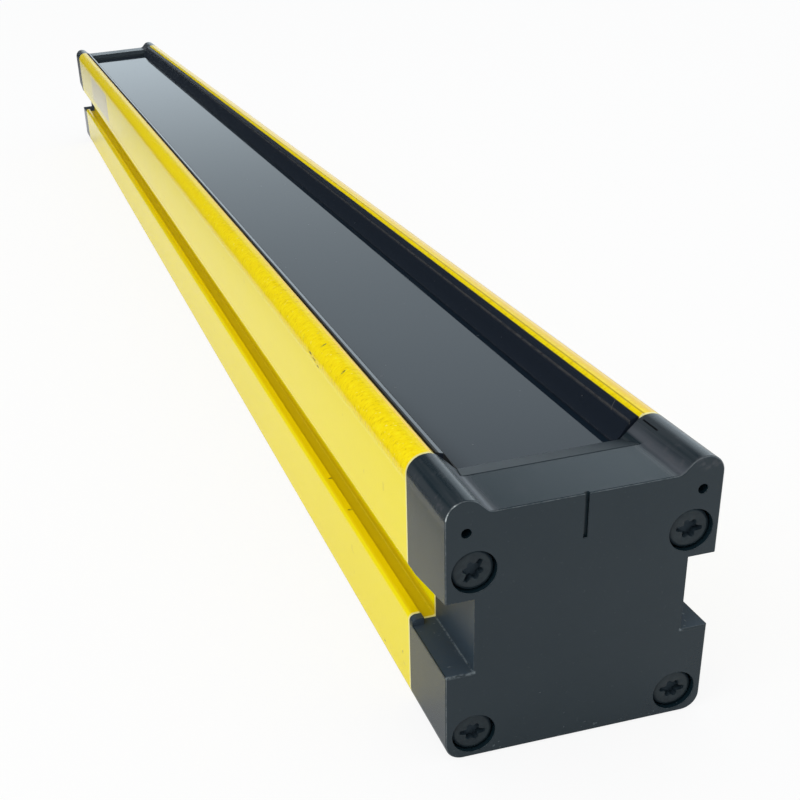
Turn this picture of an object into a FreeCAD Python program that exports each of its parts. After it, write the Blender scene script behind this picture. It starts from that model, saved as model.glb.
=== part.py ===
import FreeCAD, Part
import math
import os

import Sketcher

# Safety light curtain bar.
#
# The bar lies on its back. +Z is the direction the front window faces, the
# length runs along Y with the plain end cap at -Y and the cap that carries the
# connector at +Y, and +X is to the right when looking along +Y. The origin is
# the middle of the flat back face. All lengths are millimetres.

TINY = 1e-7
MATCH = 1e-4


# A length that knows its own expression

class Size:
    """A number together with the sheet expression that produces it."""

    def __init__(self, number, text):
        self.number = float(number)
        self.text = text

    def __add__(self, other):
        return combine(self, "+", other)

    def __radd__(self, other):
        return combine(other, "+", self)

    def __sub__(self, other):
        return combine(self, "-", other)

    def __rsub__(self, other):
        return combine(other, "-", self)

    def __mul__(self, other):
        return combine(self, "*", other)

    def __rmul__(self, other):
        return combine(other, "*", self)

    def __truediv__(self, other):
        return combine(self, "/", other)

    def __neg__(self):
        return Size(-self.number, "-(" + self.text + ")")


def as_size(value):
    """Give a plain number the same form as a named length."""
    if isinstance(value, Size):
        return value
    return Size(value, repr(float(value)))


def eastward(radius, angle):
    """A length times the cosine of an angle in degrees."""
    number = radius.number * math.cos(math.radians(angle))
    return Size(number, "(" + radius.text + " * cos(" + str(angle) + " deg))")


def upward(radius, angle):
    """A length times the sine of an angle in degrees."""
    number = radius.number * math.sin(math.radians(angle))
    return Size(number, "(" + radius.text + " * sin(" + str(angle) + " deg))")


def combine(left, sign, right):
    """Join two lengths with one arithmetic sign."""
    left = as_size(left)
    right = as_size(right)
    numbers = {
        "+": left.number + right.number,
        "-": left.number - right.number,
        "*": left.number * right.number,
    }
    if sign == "/":
        number = left.number / right.number
    else:
        number = numbers[sign]
    return Size(number, "(" + left.text + " " + sign + " " + right.text + ")")


doc = FreeCAD.newDocument("light_curtain")
sheet = doc.addObject("Spreadsheet::Sheet", "Sizes")
used_rows = []


def named(alias, value):
    """Write one value to the sheet under its own name and hand it back."""
    row = str(len(used_rows) + 1)
    used_rows.append(alias)
    sheet.set("A" + row, alias)
    sheet.set("B" + row, str(value))
    sheet.setAlias("B" + row, alias)
    return Size(value, "Sizes." + alias)


# Sizes of the whole bar

bar_length = named("bar_length", 664.0)
bar_width = named("bar_width", 52.0)
bar_height = named("bar_height", 55.5)
cap_length = named("cap_length", 19.4)

# Sizes of the outer profile, shared by the housing and both caps

back_round = named("back_round", 3.5)
lug_round = named("lug_round", 3.7)
slot_wall_x = named("slot_wall_x", 20.55)
slot_floor_z = named("slot_floor_z", 19.5)
slot_roof_z = named("slot_roof_z", 33.8)
lower_lip_z = named("lower_lip_z", 21.0)
upper_lip_z = named("upper_lip_z", 32.3)
lip_thickness = named("lip_thickness", 2.4)
lip_round = named("lip_round", 1.2)
upper_lip_round = named("upper_lip_round", 0.5)

# Sizes of the housing inside

cavity_x = named("cavity_x", 16.5)
cavity_floor_z = named("cavity_floor_z", 3.0)
guide_x = named("guide_x", 17.5)
board_guide_z = named("board_guide_z", 12.0)
board_guide_height = named("board_guide_height", 2.0)
carrier_guide_z = named("carrier_guide_z", 24.0)
carrier_guide_height = named("carrier_guide_height", 2.0)
shoulder_z = named("shoulder_z", 47.6)
seat_x = named("seat_x", 20.3)
barb_groove_z = named("barb_groove_z", 51.4)
barb_groove_height = named("barb_groove_height", 1.2)
barb_groove_depth = named("barb_groove_depth", 0.9)
lug_bevel = named("lug_bevel", 0.7)
upper_screw_x = named("upper_screw_x", 20.6)
upper_screw_z = named("upper_screw_z", 41.0)
lower_screw_x = named("lower_screw_x", 20.45)
lower_screw_z = named("lower_screw_z", 5.3)
screw_port_radius = named("screw_port_radius", 1.9)

# Sizes of the window, its seals, side trims and end strips

window_thickness = named("window_thickness", 2.0)
window_half_width = named("window_half_width", 18.4)
window_overlap = named("window_overlap", 4.8)
seal_thickness = named("seal_thickness", 0.5)
seal_width = named("seal_width", 1.7)
side_gap = named("side_gap", 0.1)
trim_window_gap = named("trim_window_gap", 0.15)
trim_foot_x = named("trim_foot_x", 15.4)
trim_foot_height = named("trim_foot_height", 0.3)
trim_bend_x = named("trim_bend_x", 16.6)
trim_bend_rise = named("trim_bend_rise", 1.45)
trim_bend_round = named("trim_bend_round", 6.0)
trim_ridge_x = named("trim_ridge_x", 18.5)
trim_ridge_z = named("trim_ridge_z", 54.65)
trim_ridge_round = named("trim_ridge_round", 0.7)
trim_top_z = named("trim_top_z", 55.2)
trim_end_gap = named("trim_end_gap", 0.4)
barb_clearance = named("barb_clearance", 0.2)
strip_length = named("strip_length", 5.3)
strip_near_z = named("strip_near_z", 52.5)
strip_far_z = named("strip_far_z", 51.25)
strip_gap = named("strip_gap", 0.5)

# Sizes of the end caps

valley_z = named("valley_z", 52.6)
lug_corner_x = named("lug_corner_x", 20.62)
lug_inner_round = named("lug_inner_round", 3.4)
valley_round = named("valley_round", 2.0)
valley_clear_rise = named("valley_clear_rise", 0.6)
notch_mouth_z = named("notch_mouth_z", 35.4)
nub_length = named("nub_length", 1.8)
cap_rim_chamfer = named("cap_rim_chamfer", 0.25)
cap_wall = named("cap_wall", 7.4)
spigot_depth = named("spigot_depth", 10.0)
spigot_wall = named("spigot_wall", 2.0)
spigot_gap = named("spigot_gap", 0.3)
spigot_top_z = named("spigot_top_z", 45.7)
spigot_corner = named("spigot_corner", 1.5)
cap_window_gap = named("cap_window_gap", 0.3)
mark_width = named("mark_width", 0.9)
mark_height = named("mark_height", 8.9)
mark_depth = named("mark_depth", 0.7)
pin_hole_x = named("pin_hole_x", 22.1)
pin_hole_z = named("pin_hole_z", 49.1)
pin_hole_radius = named("pin_hole_radius", 1.0)
pin_hole_depth = named("pin_hole_depth", 4.0)

# Sizes of the cap gaskets and cap screws

gasket_thickness = named("gasket_thickness", 1.0)
gasket_half_width = named("gasket_half_width", 18.1)
gasket_bottom_z = named("gasket_bottom_z", 1.3)
gasket_top_z = named("gasket_top_z", 47.3)
gasket_band = named("gasket_band", 1.6)
counterbore_radius = named("counterbore_radius", 4.3)
counterbore_depth = named("counterbore_depth", 3.5)
screw_clearance_radius = named("screw_clearance_radius", 2.2)
screw_head_radius = named("screw_head_radius", 4.0)
screw_head_height = named("screw_head_height", 2.8)
screw_head_round = named("screw_head_round", 0.5)
screw_shank_radius = named("screw_shank_radius", 1.6)
screw_shank_length = named("screw_shank_length", 27.0)

# Sizes of the connector in the far cap

connector_z = named("connector_z", 25.0)
connector_bore_radius = named("connector_bore_radius", 7.2)
connector_seal_thickness = named("connector_seal_thickness", 1.0)
connector_flange_radius = named("connector_flange_radius", 9.0)
connector_flange_thickness = named("connector_flange_thickness", 2.5)
connector_shank_radius = named("connector_shank_radius", 6.9)
connector_shank_length = named("connector_shank_length", 12.5)
connector_nose_radius = named("connector_nose_radius", 5.9)
connector_nose_length = named("connector_nose_length", 8.5)
connector_front_bore_radius = named("connector_front_bore_radius", 4.6)
connector_rear_bore_radius = named("connector_rear_bore_radius", 5.6)
connector_step_depth = named("connector_step_depth", 4.0)
connector_fit_gap = named("connector_fit_gap", 0.3)
insert_collar_length = named("insert_collar_length", 5.0)
insert_front_recess = named("insert_front_recess", 5.5)
contact_radius = named("contact_radius", 0.5)
contact_circle_radius = named("contact_circle_radius", 2.8)
contact_front_length = named("contact_front_length", 4.5)
contact_rear_length = named("contact_rear_length", 2.0)
connector_nut_flats = named("connector_nut_flats", 18.0)
connector_nut_thickness = named("connector_nut_thickness", 3.0)

# Sizes of the optics and the boards

carrier_gap = named("carrier_gap", 0.3)
carrier_base = named("carrier_base", 1.5)
carrier_outer_x = named("carrier_outer_x", 16.1)
carrier_ledge_x = named("carrier_ledge_x", 13.0)
carrier_rim_x = named("carrier_rim_x", 14.6)
carrier_ledge_z = named("carrier_ledge_z", 43.5)
carrier_top_z = named("carrier_top_z", 46.3)
carrier_end_gap = named("carrier_end_gap", 0.6)
lens_pitch = named("lens_pitch", 29.0)
lens_plate_thickness = named("lens_plate_thickness", 2.0)
lens_plate_gap = named("lens_plate_gap", 0.3)
lens_radius = named("lens_radius", 6.0)
lens_rise = named("lens_rise", 1.5)
lens_flank_angle = named("lens_flank_angle", -60.0)
mask_thickness = named("mask_thickness", 0.8)
mask_opening = named("mask_opening", 13.4)
emitter_board_half_width = named("emitter_board_half_width", 12.6)
circuit_thickness = named("circuit_thickness", 1.6)
emitter_length = named("emitter_length", 3.5)
emitter_width = named("emitter_width", 3.0)
emitter_height = named("emitter_height", 2.0)
main_board_length = named("main_board_length", 560.0)
display_length = named("display_length", 16.0)
display_width = named("display_width", 20.0)
display_height = named("display_height", 3.6)
flex_width = named("flex_width", 16.0)
flex_thickness = named("flex_thickness", 0.3)
flex_landing = named("flex_landing", 8.0)
flex_bend = named("flex_bend", 2.0)
flex_clearance = named("flex_clearance", 4.0)
lead_radius = named("lead_radius", 2.4)
lead_straight = named("lead_straight", 7.0)
header_length = named("header_length", 8.0)
header_width = named("header_width", 14.0)
header_height = named("header_height", 6.0)
block_side = named("block_side", 12.0)
block_height = named("block_height", 8.0)
block_gap = named("block_gap", 4.0)
large_chip_side = named("large_chip_side", 14.0)
small_chip_side = named("small_chip_side", 10.0)
chip_height = named("chip_height", 1.6)
part_pitch = named("part_pitch", 76.0)

MODULE_COUNT = 4
LENSES_PER_MODULE = 5
RING_CONTACTS = 7

# Number of flats that stand in for a round where one form comes back often

HOLE_FLATS = 16
HEAD_FLATS = 32
SHANK_FLATS = 12
SMALL_FLATS = 8
BORE_FLATS = 32
NUT_FLATS = 6

doc.recompute()

# Positions that follow from the sizes above

half_width = bar_width / 2
half_length = bar_length / 2
half_span = half_length - cap_length
window_bottom_z = shoulder_z + seal_thickness
window_top_z = window_bottom_z + window_thickness
lip_x = half_width - lip_thickness
carrier_end_y = half_span - spigot_depth - carrier_end_gap
emitter_board_z = carrier_guide_z + carrier_base
emitter_board_top_z = emitter_board_z + circuit_thickness
lens_plate_top_z = carrier_ledge_z + lens_plate_thickness
main_board_top_z = board_guide_z + circuit_thickness


# Sketch helpers

def plane_of(body, role):
    """Find one of the three origin planes of a body."""
    for feature in body.Origin.OriginFeatures:
        if feature.Role == role:
            return feature
    raise RuntimeError("no plane " + role)


def new_sketch(body, name, role, offset):
    """Start a sketch on an origin plane, moved along the plane's normal."""
    sketch = body.newObject("Sketcher::SketchObject", name)
    sketch.AttachmentSupport = [(plane_of(body, role), "")]
    sketch.MapMode = "FlatFace"
    offset = as_size(offset)
    sketch.AttachmentOffset = FreeCAD.Placement(
        FreeCAD.Vector(0, 0, offset.number), FreeCAD.Rotation())
    sketch.setExpression("AttachmentOffset.Base.z", offset.text)
    return sketch


def section(body, name, y):
    """Start a sketch of X and Z that stands at one Y."""
    return new_sketch(body, name, "XZ_Plane", -as_size(y))


def side_view(body, name, x):
    """Start a sketch of Y and Z that stands at one X."""
    return new_sketch(body, name, "YZ_Plane", x)


def plan(body, name, z):
    """Start a sketch of X and Y that lies at one Z."""
    return new_sketch(body, name, "XY_Plane", z)


def pin_axis(sketch, kind, axis, geometry, point, value):
    """Hold one coordinate of one sketch point at a named distance."""
    value = as_size(value)
    if abs(value.number) < TINY:
        sketch.addConstraint(
            Sketcher.Constraint("PointOnObject", geometry, point, axis))
        return
    if value.number > 0:
        index = sketch.addConstraint(
            Sketcher.Constraint(kind, -1, 1, geometry, point, value.number))
        text = value.text
    else:
        index = sketch.addConstraint(
            Sketcher.Constraint(kind, geometry, point, -1, 1, -value.number))
        text = "-(" + value.text + ")"
    sketch.setExpression("Constraints[" + str(index) + "]", text)


def pin_point(sketch, geometry, point, x, y):
    """Hold both coordinates of one sketch point."""
    pin_axis(sketch, "DistanceX", -2, geometry, point, x)
    pin_axis(sketch, "DistanceY", -1, geometry, point, y)


def polygon(sketch, points):
    """Draw a closed outline through points given as pairs of lengths."""
    first = sketch.GeometryCount
    count = len(points)
    flat = [(as_size(x).number, as_size(y).number) for x, y in points]
    for index in range(count):
        start = FreeCAD.Vector(flat[index][0], flat[index][1], 0)
        after = flat[(index + 1) % count]
        sketch.addGeometry(
            Part.LineSegment(start, FreeCAD.Vector(after[0], after[1], 0)), False)
    for index in range(count):
        follower = first + (index + 1) % count
        sketch.addConstraint(
            Sketcher.Constraint("Coincident", first + index, 2, follower, 1))
    for index in range(count):
        pin_point(sketch, first + index, 1, points[index][0], points[index][1])


def rectangle(sketch, left, right, bottom, top):
    """Draw a closed rectangle between four lengths."""
    polygon(sketch, [(left, bottom), (right, bottom), (right, top), (left, top)])


def circle(sketch, x, y, radius):
    """Draw a circle at a named place with a named radius."""
    radius = as_size(radius)
    index = sketch.GeometryCount
    centre = FreeCAD.Vector(as_size(x).number, as_size(y).number, 0)
    sketch.addGeometry(
        Part.Circle(centre, FreeCAD.Vector(0, 0, 1), radius.number), False)
    pin_point(sketch, index, 3, x, y)
    held = sketch.addConstraint(
        Sketcher.Constraint("Radius", index, radius.number))
    sketch.setExpression("Constraints[" + str(held) + "]", radius.text)


def regular(sketch, x, y, radius, flats):
    """Draw a closed outline of equal flats round a named place."""
    x = as_size(x)
    y = as_size(y)
    points = []
    for index in range(flats):
        angle = 360.0 * index / flats
        points.append((x + eastward(radius, angle), y + upward(radius, angle)))
    polygon(sketch, points)


def mirrored(points):
    """Complete an outline whose right half is given from bottom to top."""
    left = [(-as_size(x), y) for x, y in reversed(points)]
    return list(points) + left


# Feature helpers

def new_body(label):
    """Start a body that carries the name of its piece."""
    body = doc.addObject("PartDesign::Body", label)
    body.Label = label
    return body


def volume_of(body):
    """Volume of the body after a recompute."""
    doc.recompute()
    return body.Shape.Volume


def add(body, sketch, length, reverse):
    """Pad a sketch and make sure that material was added."""
    before = volume_of(body) if body.Tip is not None and body.Tip != sketch else 0.0
    feature = body.newObject("PartDesign::Pad", "Pad")
    feature.Profile = sketch
    feature.Length = as_size(length).number
    feature.setExpression("Length", as_size(length).text)
    feature.Reversed = reverse
    sketch.Visibility = False
    if volume_of(body) <= before + TINY:
        raise RuntimeError("pad adds nothing in " + body.Label)
    return feature


def cut(body, sketch, depth, reverse):
    """Pocket a sketch and make sure that material was removed."""
    before = volume_of(body)
    feature = body.newObject("PartDesign::Pocket", "Pocket")
    feature.Profile = sketch
    feature.Length = as_size(depth).number
    feature.setExpression("Length", as_size(depth).text)
    feature.Reversed = reverse
    sketch.Visibility = False
    if volume_of(body) >= before - TINY:
        raise RuntimeError("pocket removes nothing in " + body.Label)
    return feature


def straight_edges(body, fixed):
    """Names of straight edges on which the given coordinates stay put."""
    found = []
    for index, edge in enumerate(body.Tip.Shape.Edges):
        if edge.Curve.TypeId != "Part::GeomLine":
            continue
        ends = [vertex.Point for vertex in edge.Vertexes]
        if all(abs(getattr(point, axis) - as_size(value).number) < MATCH
               for point in ends for axis, value in fixed.items()):
            found.append("Edge" + str(index + 1))
    if not found:
        raise RuntimeError("no edge found in " + body.Label)
    return found


def rim_edges(body, y):
    """Names of all edges, straight or round, that lie at one Y."""
    found = []
    for index, edge in enumerate(body.Tip.Shape.Edges):
        ends = [vertex.Point for vertex in edge.Vertexes]
        if all(abs(point.y - as_size(y).number) < MATCH for point in ends):
            found.append("Edge" + str(index + 1))
    return found


def smooth(body, places, radius):
    """Round the straight edges found at each of the places."""
    names = []
    for fixed in places:
        names.extend(straight_edges(body, fixed))
    feature = body.newObject("PartDesign::Fillet", "Fillet")
    feature.Base = (body_tip_before(body, feature), names)
    feature.Radius = as_size(radius).number
    feature.setExpression("Radius", as_size(radius).text)
    doc.recompute()
    return feature


def bevel(body, places, size):
    """Chamfer the straight edges found at each of the places."""
    names = []
    for fixed in places:
        names.extend(straight_edges(body, fixed))
    return bevel_edges(body, names, size)


def bevel_edges(body, names, size):
    """Chamfer edges that are given by name."""
    feature = body.newObject("PartDesign::Chamfer", "Chamfer")
    feature.Base = (body_tip_before(body, feature), names)
    feature.Size = as_size(size).number
    feature.setExpression("Size", as_size(size).text)
    doc.recompute()
    return feature


def body_tip_before(body, feature):
    """The solid feature that comes just before the one that was added."""
    solids = [item for item in body.Group
              if item.isDerivedFrom("PartDesign::Feature") and item != feature]
    return solids[-1]


def place(item, y, turned):
    """Put a piece at one Y, and turn it half round Z where asked."""
    y = as_size(y)
    angle = 180.0 if turned else 0.0
    item.Placement = FreeCAD.Placement(
        FreeCAD.Vector(0, y.number, 0),
        FreeCAD.Rotation(FreeCAD.Vector(0, 0, 1), angle))
    item.setExpression("Placement.Base.y", y.text)


pieces = []


def finish(item):
    """Remember a finished piece for the export."""
    pieces.append(item)
    return item


# Housing profile: one extrusion with a slot in each side, two lugs along the
# front, guides for the boards and four screw ports

def make_housing():
    body = new_body("housing_profile")
    outline = section(body, "HousingOutline", -half_span)
    rectangle(outline, -half_width, half_width, 0, bar_height)
    add(body, outline, half_span * 2, True)

    slots = section(body, "HousingSlots", -half_span)
    slot = [
        (half_width, lower_lip_z),
        (half_width, upper_lip_z),
        (lip_x, upper_lip_z),
        (lip_x, slot_roof_z),
        (slot_wall_x, slot_roof_z),
        (slot_wall_x, slot_floor_z),
        (lip_x, slot_floor_z),
        (lip_x, lower_lip_z),
    ]
    polygon(slots, slot)
    polygon(slots, [(-as_size(x), z) for x, z in reversed(slot)])
    cut(body, slots, half_span * 2, False)

    inside = section(body, "HousingInside", -half_span)
    board_guide_top = board_guide_z + board_guide_height
    carrier_guide_top = carrier_guide_z + carrier_guide_height
    barb_groove_top = barb_groove_z + barb_groove_height
    barb_groove_x = seat_x + barb_groove_depth
    polygon(inside, mirrored([
        (cavity_x, cavity_floor_z),
        (cavity_x, board_guide_z),
        (guide_x, board_guide_z),
        (guide_x, board_guide_top),
        (cavity_x, board_guide_top),
        (cavity_x, carrier_guide_z),
        (guide_x, carrier_guide_z),
        (guide_x, carrier_guide_top),
        (cavity_x, carrier_guide_top),
        (cavity_x, shoulder_z),
        (seat_x, shoulder_z),
        (seat_x, barb_groove_z),
        (barb_groove_x, barb_groove_z),
        (barb_groove_x, barb_groove_top),
        (seat_x, barb_groove_top),
        (seat_x, bar_height),
    ]))
    cut(body, inside, half_span * 2, False)

    ports = section(body, "HousingScrewPorts", -half_span)
    for x, z in screw_places():
        regular(ports, x, z, screw_port_radius, HOLE_FLATS)
    cut(body, ports, half_span * 2, False)

    smooth(body, [{"x": half_width, "z": 0}, {"x": -half_width, "z": 0}], back_round)
    smooth(body, [{"x": half_width, "z": bar_height},
                  {"x": -half_width, "z": bar_height}], lug_round)
    smooth(body, [{"x": half_width, "z": lower_lip_z},
                  {"x": -half_width, "z": lower_lip_z}], lip_round)
    smooth(body, [{"x": half_width, "z": upper_lip_z},
                  {"x": -half_width, "z": upper_lip_z}], upper_lip_round)
    bevel(body, [{"x": seat_x, "z": bar_height},
                 {"x": -seat_x, "z": bar_height}], lug_bevel)
    return finish(body)


def screw_places():
    """The four screw axes, as pairs of X and Z."""
    return [
        (upper_screw_x, upper_screw_z),
        (-upper_screw_x, upper_screw_z),
        (lower_screw_x, lower_screw_z),
        (-lower_screw_x, lower_screw_z),
    ]


# Front window with the foam seals under its long edges

def make_window():
    body = new_body("front_window")
    reach = half_span + window_overlap
    outline = section(body, "WindowOutline", -reach)
    rectangle(outline, -window_half_width, window_half_width,
              window_bottom_z, window_top_z)
    add(body, outline, reach * 2, True)
    return finish(body)


def make_window_seal(label, side):
    body = new_body(label)
    outline = section(body, "SealOutline", -half_span)
    near = window_half_width - seal_width
    if side > 0:
        rectangle(outline, near, window_half_width, shoulder_z, window_bottom_z)
    else:
        rectangle(outline, -window_half_width, -near, shoulder_z, window_bottom_z)
    add(body, outline, half_span * 2, True)
    return finish(body)


# Side trims: each stands on the shoulder, hooks into the lug with a barb, falls
# gently from the lug to a ridge and turns a hollow flank to the window

def make_trim(label, side):
    body = new_body(label)
    outer = seat_x - side_gap
    leg = window_half_width + trim_window_gap
    barb_x = seat_x + barb_groove_depth - barb_clearance
    barb_bottom = barb_groove_z + barb_clearance
    barb_top = barb_groove_z + barb_groove_height - barb_clearance
    right = [
        (leg, shoulder_z),
        (outer, shoulder_z),
        (outer, barb_bottom),
        (barb_x, barb_bottom),
        (barb_x, barb_top),
        (outer, barb_top),
        (outer, trim_top_z),
        (trim_ridge_x, trim_ridge_z),
        (trim_bend_x, window_top_z + trim_bend_rise),
        (trim_foot_x, window_top_z + trim_foot_height),
        (trim_foot_x, window_top_z),
        (leg, window_top_z),
    ]
    reach = half_span - trim_end_gap
    outline = section(body, "TrimOutline", -reach)
    if side > 0:
        polygon(outline, right)
    else:
        polygon(outline, [(-as_size(x), z) for x, z in reversed(right)])
    add(body, outline, reach * 2, True)
    smooth(body, [{"x": trim_ridge_x * side, "z": trim_ridge_z}], trim_ridge_round)
    smooth(body, [{"x": trim_bend_x * side, "z": window_top_z + trim_bend_rise}],
           trim_bend_round)
    return finish(body)


# End cap: the profile of the housing carried on to the end of the bar, with
# the window edge buried under a sloped strip and a spigot inside the housing

def flank_x(z):
    """X of the sloped flank of a cap lug at one height."""
    return lug_corner_x - (bar_height - z)


def cap_outline():
    """Right half of the cap outline, from the back face to the middle top."""
    return [
        (half_width, 0),
        (half_width, bar_height),
        (lug_corner_x, bar_height),
        (flank_x(valley_z), valley_z),
    ]


def make_cap(label, turned):
    body = new_body(label)
    outline = section(body, "CapOutline", 0)
    polygon(outline, mirrored(cap_outline()))
    add(body, outline, cap_length, True)
    smooth(body, [{"x": half_width, "z": 0}, {"x": -half_width, "z": 0}], back_round)
    smooth(body, [{"x": half_width, "z": bar_height},
                  {"x": -half_width, "z": bar_height}], lug_round)
    smooth(body, [{"x": lug_corner_x, "z": bar_height},
                  {"x": -lug_corner_x, "z": bar_height}], lug_inner_round)
    smooth(body, [{"x": flank_x(valley_z), "z": valley_z},
                  {"x": -flank_x(valley_z), "z": valley_z}], valley_round)
    bevel_edges(body, rim_edges(body, 0), cap_rim_chamfer)

    nub_y = cap_length - nub_length
    for side in (1, -1):
        deep = side_view(body, "CapSlotInner", slot_wall_x * side)
        polygon(deep, [
            (0, slot_floor_z),
            (cap_length, slot_floor_z),
            (cap_length, slot_roof_z),
            (0, notch_mouth_z),
        ])
        cut(body, deep, lip_x - slot_wall_x, side > 0)
        mouth = side_view(body, "CapSlotMouth", lip_x * side)
        polygon(mouth, [
            (0, slot_floor_z),
            (nub_y, slot_floor_z),
            (nub_y, lower_lip_z),
            (cap_length, lower_lip_z),
            (cap_length, upper_lip_z),
            (nub_y, upper_lip_z),
            (0, notch_mouth_z),
        ])
        cut(body, mouth, lip_thickness, side > 0)
    smooth(body, [{"x": half_width, "z": lower_lip_z},
                  {"x": -half_width, "z": lower_lip_z}], lip_round)
    smooth(body, [{"x": half_width, "z": upper_lip_z},
                  {"x": -half_width, "z": upper_lip_z}], upper_lip_round)

    spigot_x = cavity_x - spigot_gap
    spigot_bottom = cavity_floor_z + spigot_gap
    spigot = section(body, "CapSpigot", cap_length)
    rectangle(spigot, -spigot_x, spigot_x, spigot_bottom, spigot_top_z)
    add(body, spigot, spigot_depth, True)
    bevel(body, [
        {"x": spigot_x, "z": spigot_bottom},
        {"x": -spigot_x, "z": spigot_bottom},
        {"x": spigot_x, "z": spigot_top_z},
        {"x": -spigot_x, "z": spigot_top_z},
    ], spigot_corner)
    hollow = section(body, "CapHollow", cap_wall)
    rectangle(hollow, -(spigot_x - spigot_wall), spigot_x - spigot_wall,
              spigot_bottom + spigot_wall, spigot_top_z - spigot_wall)
    cut(body, hollow, cap_length - cap_wall + spigot_depth, False)

    ring = section(body, "CapGasketGroove", cap_length - gasket_thickness)
    gasket_outline(ring)
    cut(body, ring, gasket_thickness, False)

    strip_room = section(body, "CapStripRoom", cap_length - strip_length - strip_gap)
    clear_z = valley_z + valley_clear_rise
    polygon(strip_room, mirrored([
        (flank_x(window_top_z), window_top_z),
        (flank_x(clear_z), clear_z),
        (flank_x(clear_z), bar_height),
    ]))
    cut(body, strip_room, strip_length + strip_gap, False)
    window_room_depth = window_overlap + cap_window_gap
    window_room = section(body, "CapWindowRoom", cap_length - window_room_depth)
    room_x = window_half_width + cap_window_gap
    rectangle(window_room, -room_x, room_x, window_bottom_z, window_top_z)
    cut(body, window_room, window_room_depth, False)

    heads = section(body, "CapCounterbores", 0)
    for x, z in screw_places():
        circle(heads, x, z, counterbore_radius)
    cut(body, heads, counterbore_depth, False)
    holes = section(body, "CapScrewHoles", 0)
    for x, z in screw_places():
        regular(holes, x, z, screw_clearance_radius, HOLE_FLATS)
    cut(body, holes, cap_length, False)
    pins = section(body, "CapPinHoles", 0)
    regular(pins, pin_hole_x, pin_hole_z, pin_hole_radius, HOLE_FLATS)
    regular(pins, -pin_hole_x, pin_hole_z, pin_hole_radius, HOLE_FLATS)
    cut(body, pins, pin_hole_depth, False)
    mark = section(body, "CapMark", 0)
    rectangle(mark, -mark_width / 2, mark_width / 2, valley_z - mark_height, valley_z)
    cut(body, mark, mark_depth, False)
    if turned:
        bore = section(body, "CapConnectorBore", 0)
        regular(bore, 0, connector_z, connector_bore_radius, BORE_FLATS)
        cut(body, bore, cap_wall, False)
        place(body, half_length, True)
    else:
        place(body, -half_length, False)
    return finish(body)


def gasket_outline(sketch):
    """Outer and inner outline of the gasket that goes round the spigot."""
    rectangle(sketch, -gasket_half_width, gasket_half_width,
              gasket_bottom_z, gasket_top_z)
    inner_x = gasket_half_width - gasket_band
    rectangle(sketch, -inner_x, inner_x,
              gasket_bottom_z + gasket_band, gasket_top_z - gasket_band)


def make_gasket(label, turned):
    body = new_body(label)
    outline = section(body, "GasketOutline", cap_length - gasket_thickness)
    gasket_outline(outline)
    add(body, outline, gasket_thickness, True)
    place(body, half_length if turned else -half_length, turned)
    return finish(body)


def make_strip(label, turned):
    body = new_body(label)
    near_y = cap_length - strip_length
    outline = section(body, "StripOutline", near_y)
    polygon(outline, mirrored([
        (flank_x(window_top_z), window_top_z),
        (flank_x(strip_near_z), strip_near_z),
    ]))
    add(body, outline, strip_length, True)
    slope = side_view(body, "StripSlope", -half_width)
    polygon(slope, [
        (near_y, strip_near_z),
        (cap_length, strip_far_z),
        (cap_length, strip_near_z),
    ])
    cut(body, slope, bar_width, True)
    place(body, half_length if turned else -half_length, turned)
    return finish(body)


# Cap screws: four of a kind in one piece, head outwards

def make_one_screw(x, z):
    """One screw as a head and a shank joined into a single solid."""
    seat_y = counterbore_depth
    start_y = seat_y - screw_head_height
    head = doc.addObject("Part::Prism", "ScrewHead")
    head.Polygon = HEAD_FLATS
    bind_prism(head, screw_head_radius, screw_head_height, (x, start_y, z))
    shank = doc.addObject("Part::Prism", "ScrewShank")
    shank.Polygon = SHANK_FLATS
    bind_prism(shank, screw_shank_radius, screw_shank_length + screw_head_height,
               (x, start_y, z))
    joined = doc.addObject("Part::MultiFuse", "Screw")
    joined.Shapes = [head, shank]
    joined.Refine = True
    return joined


def bind_prism(item, radius, length, start):
    """Give a prism along +Y its named size and place."""
    radius = as_size(radius)
    length = as_size(length)
    item.Circumradius = radius.number
    item.Height = length.number
    item.Placement = FreeCAD.Placement(
        FreeCAD.Vector(*[as_size(value).number for value in start]),
        FreeCAD.Rotation(FreeCAD.Vector(1, 0, 0), -90))
    item.setExpression("Circumradius", radius.text)
    item.setExpression("Height", length.text)
    for axis, value in zip(("x", "y", "z"), start):
        item.setExpression("Placement.Base." + axis, as_size(value).text)


def bind_box(item, sizes, corner):
    """Give a box its named sizes and the place of its low corner."""
    names = ("Length", "Width", "Height")
    axes = ("x", "y", "z")
    item.Placement = FreeCAD.Placement(
        FreeCAD.Vector(*[as_size(value).number for value in corner]),
        FreeCAD.Rotation())
    for name, axis, size, start in zip(names, axes, sizes, corner):
        size = as_size(size)
        setattr(item, name, size.number)
        item.setExpression(name, size.text)
        item.setExpression("Placement.Base." + axis, as_size(start).text)


def make_screws(label, turned):
    screws = [make_one_screw(x, z) for x, z in screw_places()]
    group = doc.addObject("Part::Compound", label)
    group.Label = label
    group.Links = screws
    place(group, half_length if turned else -half_length, turned)
    return finish(group)


# Connector of the far cap. Outwards is -Y here and the piece is turned with
# the cap

def make_connector_seal():
    body = new_body("connector_seal")
    outline = section(body, "ConnectorSealOutline", -connector_seal_thickness)
    regular(outline, 0, connector_z, connector_flange_radius, BORE_FLATS)
    regular(outline, 0, connector_z, connector_bore_radius, BORE_FLATS)
    add(body, outline, connector_seal_thickness, True)
    place(body, half_length, True)
    return finish(body)


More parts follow.
